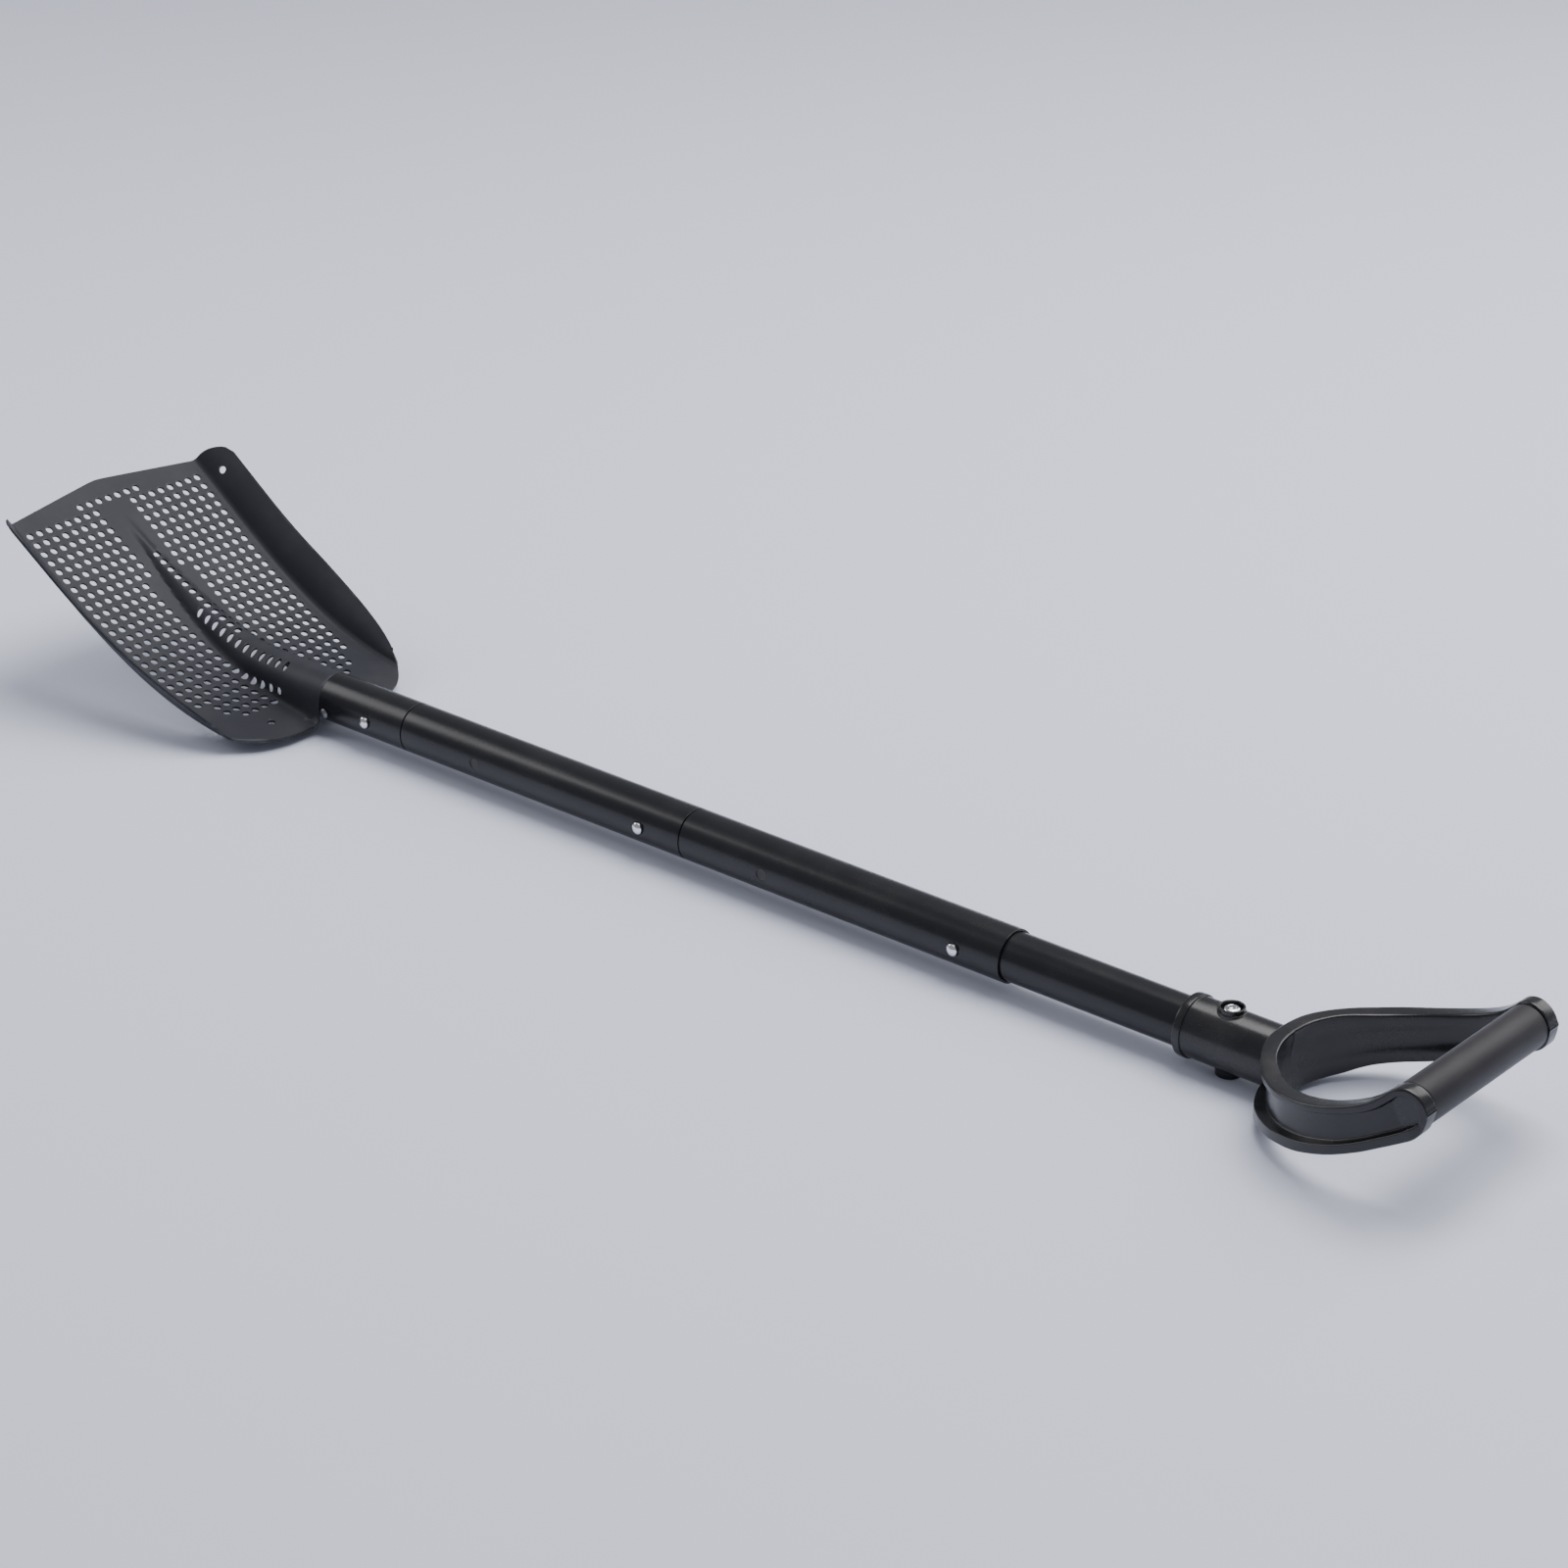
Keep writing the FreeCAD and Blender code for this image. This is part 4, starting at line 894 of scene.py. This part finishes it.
def make_screw(low, high, sides=72):
    """Shank and low domed head, with a key recess.

    The recess's rings are scaled by cos 30 / cos(turn from the middle of a flat)."""
    head_low = upper_cup[0]
    shank_r, head_r, key_r = 3.0 * MM, 4.6 * MM, 2.4 * MM
    dome = high - head_low
    t = np.linspace(0, 1, 10)[:, None]
    face = np.hstack([high - 0.45 * dome * t ** 2.4, key_r * 1.06 + (head_r - key_r * 1.06) * t])
    recess = [(high - 1.3 * MM, 0), (high - 1.3 * MM, key_r), (high - 0.15 * MM, key_r)]
    shank = [(head_low, head_r), (head_low, shank_r), (low, shank_r), (low, 0)]
    outline = np.vstack([recess, face, shank])
    points, faces = turned(outline[::-1], (SCREW_X, 0, 0), (0, 0, 1), sides)
    off = points[:, :2] - (SCREW_X, 0)
    turn = np.arctan2(off[:, 1], off[:, 0])
    flat = math.cos(math.pi / 6) / np.cos(np.mod(turn, math.pi / 3) - math.pi / 6)
    inside = (np.hypot(off[:, 0], off[:, 1]) < 1.02 * key_r) & (points[:, 2] > head_low)
    points[:, :2] = (SCREW_X, 0) + off * np.where(inside, flat, 1.0)[:, None]
    return points, faces


screw = make_piece("clamp_screw_head", *make_screw(*span("clamp_screw", 2)),
                   replaced=("clamp_screw",))


# %% [markdown]
# ## Finishes: the shared effects
#
# Three effects serve several finishes, so each is one node group. `coat_grain` is the
# orange peel of a sprayed or powder-baked coat, with slow cloudiness. `edge_wear` finds bumps
# and edges, where handling rubs a coat through. `dust` gathers in broad uneven patches.
# All read Object coordinates, in metres, so a pattern keeps its real size.


# %% Node helpers
def group_of(name, inputs, outputs):
    """An empty node group with named number inputs and outputs."""
    tree = bpy.data.node_groups.new(name, "ShaderNodeTree")
    for label, value in inputs.items():
        socket = tree.interface.new_socket(label, in_out="INPUT", socket_type="NodeSocketFloat")
        socket.default_value = value
    for label in outputs:
        tree.interface.new_socket(label, in_out="OUTPUT", socket_type="NodeSocketFloat")
    return tree, tree.nodes.new("NodeGroupInput"), tree.nodes.new("NodeGroupOutput")


def node(tree, kind, **values):
    """A node with properties and unlinked inputs set by name (spaces as underscores)."""
    made = tree.nodes.new(kind)
    for key, value in values.items():
        if hasattr(made, key):
            setattr(made, key, value)
        else:
            made.inputs[key.replace("_", " ")].default_value = value
    return made


def maths(tree, operation, a, b=None, clamp=False):
    """A Math node on sockets or plain numbers; gives its output socket."""
    made = tree.nodes.new("ShaderNodeMath")
    made.operation, made.use_clamp = operation, clamp
    for place, value in enumerate((a, b)):
        if isinstance(value, (int, float)):
            made.inputs[place].default_value = value
        elif value is not None:
            tree.links.new(value, made.inputs[place])
    return made.outputs[0]


def noise(tree, where, scale, detail=3.0, rough=0.5):
    """Noise on a coordinate socket; scale is a number or a socket."""
    made = node(tree, "ShaderNodeTexNoise", Detail=detail, Roughness=rough)
    tree.links.new(where, made.inputs["Vector"])
    if isinstance(scale, (int, float)):
        made.inputs["Scale"].default_value = scale
    else:
        tree.links.new(scale, made.inputs["Scale"])
    return made.outputs[0]


def ramp(tree, value, low, high):
    """A smooth 0 to 1 mask as value goes from low to high."""
    made = node(tree, "ShaderNodeMapRange", interpolation_type="SMOOTHSTEP")
    made.inputs["From Min"].default_value, made.inputs["From Max"].default_value = low, high
    tree.links.new(value, made.inputs["Value"])
    return made.outputs[0]


# %% Effect: grain of a coat
def build_grain():
    """Height: fine pebbling. Cloud: slow unevenness. Fleck: rare small specks."""
    tree, start, end = group_of("coat_grain", {"Pebble Scale": 900.0}, ("Height", "Cloud", "Fleck"))
    where = tree.nodes.new("ShaderNodeTexCoord").outputs["Object"]
    fine = noise(tree, where, start.outputs[0], 2.0, 0.55)
    broad = noise(tree, where, maths(tree, "MULTIPLY", start.outputs[0], 0.22), 2.0, 0.5)
    height = maths(tree, "ADD", maths(tree, "MULTIPLY", fine, 0.6),
                   maths(tree, "MULTIPLY", broad, 0.4))
    tree.links.new(height, end.inputs["Height"])
    cloud = noise(tree, where, 14.0, 4.0, 0.6)
    tree.links.new(cloud, end.inputs["Cloud"])
    tree.links.new(ramp(tree, noise(tree, where, 420.0, 1.0, 0.4), 0.70, 0.78),
                   end.inputs["Fleck"])
    return tree


GRAIN = build_grain()


# %% Effect: wear on edges, and dust
def build_wear():
    """Mask of rubbed edges: sharp convex places, broken up by noise.

    Width moves the threshold on pointiness, which is 0.5 on a flat face."""
    tree, start, end = group_of("edge_wear", {"Width": 0.5, "Patches": 60.0}, ("Mask", "Scuff"))
    where = tree.nodes.new("ShaderNodeTexCoord").outputs["Object"]
    point = tree.nodes.new("ShaderNodeNewGeometry").outputs["Pointiness"]
    broken = noise(tree, where, start.outputs["Patches"], 4.0, 0.65)
    edge = maths(tree, "SUBTRACT", point, maths(tree, "MULTIPLY", start.outputs["Width"], 0.1))
    uneven = maths(tree, "MULTIPLY", maths(tree, "SUBTRACT", broken, 0.5), 0.25)
    edge = maths(tree, "ADD", edge, uneven)
    tree.links.new(ramp(tree, edge, 0.50, 0.60), end.inputs["Mask"])
    streaks = node(tree, "ShaderNodeMapping")
    streaks.inputs["Scale"].default_value = (1.0, 9.0, 9.0)
    tree.links.new(where, streaks.inputs["Vector"])
    fine = noise(tree, streaks.outputs[0], 55.0, 5.0, 0.7)
    tree.links.new(ramp(tree, fine, 0.60, 0.72), end.inputs["Scuff"])
    return tree


def build_dust():
    """Mask of settled dust: broad patches times fine powder."""
    tree, start, end = group_of("dust", {"Patch Scale": 22.0}, ("Mask",))
    where = tree.nodes.new("ShaderNodeTexCoord").outputs["Object"]
    patch = ramp(tree, noise(tree, where, start.outputs[0], 4.0, 0.6), 0.40, 0.75)
    powder = noise(tree, where, 1500.0, 2.0, 0.5)
    tree.links.new(maths(tree, "MULTIPLY", patch, powder), end.inputs["Mask"])
    return tree


WEAR, DUST = build_wear(), build_dust()

# %% [markdown]
# ## Finishes: the materials
#
# `finish` places the three effects round one Principled shader. The numbers that differ,
# such as how rough a coat is and how far its edges are rubbed, come from a short table.


# %% Build the materials
def blend_colours(tree, mask, one, two):
    """Colour one where the mask is 0 and two where it is 1; one may be a socket."""
    made = node(tree, "ShaderNodeMix", data_type="RGBA")
    tree.links.new(mask, made.inputs["Factor"])
    for place, value in ((6, one), (7, two)):
        if isinstance(value, tuple):
            made.inputs[place].default_value = (*value, 1.0)
        else:
            tree.links.new(value, made.inputs[place])
    return made.outputs[2]


def placed(tree, group, **values):
    """A group node with its inputs set."""
    made = tree.nodes.new("ShaderNodeGroup")
    made.node_tree = group
    for key, value in values.items():
        made.inputs[key.replace("_", " ")].default_value = value
    return made


def finish(name, colour, darker, worn, rough, uneven, pebble, depth, wear, dusty,
           metal=0.0, coat=0.0, sheen=0.0, specular=0.5):
    """A coated, moulded or bare surface: grain, cloud, wear and dust on one Principled shader."""
    made = bpy.data.materials.new(name)
    made.use_nodes = True
    tree = made.node_tree
    shader = tree.nodes["Principled BSDF"]
    shader.inputs["Coat Weight"].default_value = coat
    shader.inputs["Coat Roughness"].default_value = 0.2
    shader.inputs["Specular IOR Level"].default_value = specular
    shader.inputs["Sheen Weight"].default_value = sheen
    grain = placed(tree, GRAIN, Pebble_Scale=pebble)
    edges = placed(tree, WEAR, Width=0.5)
    dust = placed(tree, DUST)
    base = blend_colours(tree, grain.outputs["Cloud"], colour, darker)
    rubbed = maths(tree, "MULTIPLY", edges.outputs["Mask"], wear)
    base = blend_colours(tree, rubbed, base, worn)
    powder = maths(tree, "MULTIPLY", dust.outputs["Mask"], dusty)
    base = blend_colours(tree, powder, base, (0.42, 0.40, 0.38))
    tree.links.new(base, shader.inputs["Base Color"])
    cloud = maths(tree, "MULTIPLY", maths(tree, "SUBTRACT", grain.outputs["Cloud"], 0.5), uneven)
    scuff = maths(tree, "MULTIPLY", edges.outputs["Scuff"], 0.35 * uneven)
    level = maths(tree, "ADD", maths(tree, "ADD", cloud, rough), maths(tree, "ADD", scuff, powder))
    tree.links.new(maths(tree, "ADD", level, 0.0, clamp=True), shader.inputs["Roughness"])
    shader.inputs["Metallic"].default_value = metal
    bump = node(tree, "ShaderNodeBump", Distance=depth, Strength=1.0)
    height = maths(tree, "SUBTRACT", grain.outputs["Height"],
                   maths(tree, "MULTIPLY", rubbed, 0.3))
    tree.links.new(height, bump.inputs["Height"])
    tree.links.new(bump.outputs[0], shader.inputs["Normal"])
    return made


FINISHES = {
    "blade_black": dict(
        colour=(0.038, 0.039, 0.048), darker=(0.029, 0.030, 0.037), worn=(0.10, 0.10, 0.11),
        rough=0.42, uneven=0.18, pebble=1000.0, depth=0.00006, wear=0.5, dusty=0.06,
        specular=0.14),
    "tube_black": dict(
        colour=(0.011, 0.011, 0.014), darker=(0.007, 0.007, 0.009), worn=(0.06, 0.06, 0.065),
        rough=0.25, uneven=0.14, pebble=1100.0, depth=0.00004, wear=0.4, dusty=0.03,
        specular=0.42),
    "tube_black_weld": dict(
        colour=(0.012, 0.012, 0.013), darker=(0.02, 0.02, 0.02), worn=(0.1, 0.1, 0.1),
        rough=0.55, uneven=0.3, pebble=600.0, depth=0.0004, wear=0.2, dusty=0.2),
    # Steel darkened well below real bare steel: painted shade, so the socket rivets look shadowed.
    # The clamp nut shares this painted shade.
    "bare_steel": dict(
        colour=(0.22, 0.22, 0.23), darker=(0.15, 0.15, 0.16), worn=(0.4, 0.4, 0.42),
        rough=0.42, uneven=0.30, pebble=1500.0, depth=0.00003, wear=0.4, dusty=0.06, metal=1.0),
    # Inner steel is near black, well below bare steel, so the gaps at the tube seams look dark.
    "inner_steel": dict(
        colour=(0.05, 0.05, 0.055), darker=(0.03, 0.03, 0.033), worn=(0.10, 0.10, 0.10),
        rough=0.50, uneven=0.35, pebble=1300.0, depth=0.00003, wear=0.3, dusty=0.1, metal=1.0),
    "bright_steel": dict(
        colour=(0.86, 0.86, 0.88), darker=(0.78, 0.78, 0.80), worn=(0.9, 0.9, 0.92),
        rough=0.14, uneven=0.16, pebble=2200.0, depth=0.000008, wear=0.3, dusty=0.03, metal=1.0),
    "grip_plastic": dict(
        colour=(0.011, 0.011, 0.013), darker=(0.007, 0.007, 0.009), worn=(0.04, 0.04, 0.045),
        rough=0.24, uneven=0.14, pebble=1700.0, depth=0.000025, wear=0.4, dusty=0.07),
    "grip_rubber": dict(
        colour=(0.017, 0.015, 0.020), darker=(0.011, 0.010, 0.013), worn=(0.035, 0.034, 0.04),
        rough=0.50, uneven=0.18, pebble=1300.0, depth=0.00012, wear=0.4, dusty=0.04,
        sheen=0.06, specular=0.3),
}
MATERIALS = {name: finish(name + "_finish", **values) for name, values in FINISHES.items()}
print("finishes", sorted(MATERIALS))

# %% Put the finishes on
PIECE_SLOTS = {"blade_black": [blade], "tube_black": tubes,
               "bright_steel": buttons + [screw], "grip_plastic": [grip, *cups],
               "grip_rubber": [sleeve], "inner_steel": strips}
for slot, pieces in PIECE_SLOTS.items():
    for piece in pieces:
        piece.data.materials.append(MATERIALS[slot])

# The socket rivets and the clamp nut take the steel finish that has painted shade in its colour.
NODE_SLOTS = {"socket_rivets": "bare_steel", "lower_ferrule": "inner_steel",
              "upper_ferrule": "inner_steel",
              "lower_plug_weld": "tube_black_weld", "upper_plug_weld": "tube_black_weld",
              "grip_bar": "grip_plastic", "clamp_nut": "bare_steel"}
for name, slot in NODE_SLOTS.items():
    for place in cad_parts[name].material_slots:
        place.material = MATERIALS[slot]
    print(name, "has", slot)

# %% [markdown]
# ## Floor and light
#
# The floor is one pale plane, far larger than the view. A big soft light overhead, two
# smaller ones from the blade's end and from the far side, and an even world give long
# soft reflections on the tubes.


# %% Floor
def make_floor(half=12.0):
    """A single plane under the lowest point."""
    points = np.array([(-half, -half, 0), (half, -half, 0), (half, half, 0), (-half, half, 0)])
    mesh = bpy.data.meshes.new("studio_floor")
    mesh.from_pydata(points.tolist(), [], [(0, 1, 2, 3)])
    floor = bpy.data.objects.new("studio_floor", mesh)
    bpy.context.scene.collection.objects.link(floor)
    made = bpy.data.materials.new("floor_finish")
    made.use_nodes = True
    shader = made.node_tree.nodes["Principled BSDF"]
    shader.inputs["Base Color"].default_value = (0.76, 0.79, 0.93, 1.0)
    shader.inputs["Roughness"].default_value = 0.6
    mesh.materials.append(made)
    return floor


floor = make_floor()


# %% Lights
def make_light(name, place, aim, size, power, colour=(1, 1, 1)):
    """A square soft light at place, turned to face aim."""
    light = bpy.data.lights.new(name, "AREA")
    light.size, light.energy, light.color = size, power, colour
    lamp = bpy.data.objects.new(name, light)
    back = np.array(place, float) - np.array(aim, float)
    lamp.location = place
    lamp.rotation_euler = (math.atan2(math.hypot(back[0], back[1]), back[2]), 0.0,
                           math.atan2(back[0], -back[1]))
    bpy.context.scene.collection.objects.link(lamp)
    return lamp


make_light("overhead", (0.2, 0.9, 2.6), (0, 0, 0), 2.2, 88)
make_light("side", (-2.4, -0.8, 1.6), (-0.2, 0, 0.05), 1.4, 20)
make_light("far", (0.8, 2.4, 1.4), (0.1, 0, 0.05), 1.6, 26)
world = bpy.data.worlds.new("studio")
world.use_nodes = True
world.node_tree.nodes["Background"].inputs[0].default_value = (0.80, 0.82, 0.90, 1.0)
world.node_tree.nodes["Background"].inputs[1].default_value = 0.36
bpy.context.scene.world = world
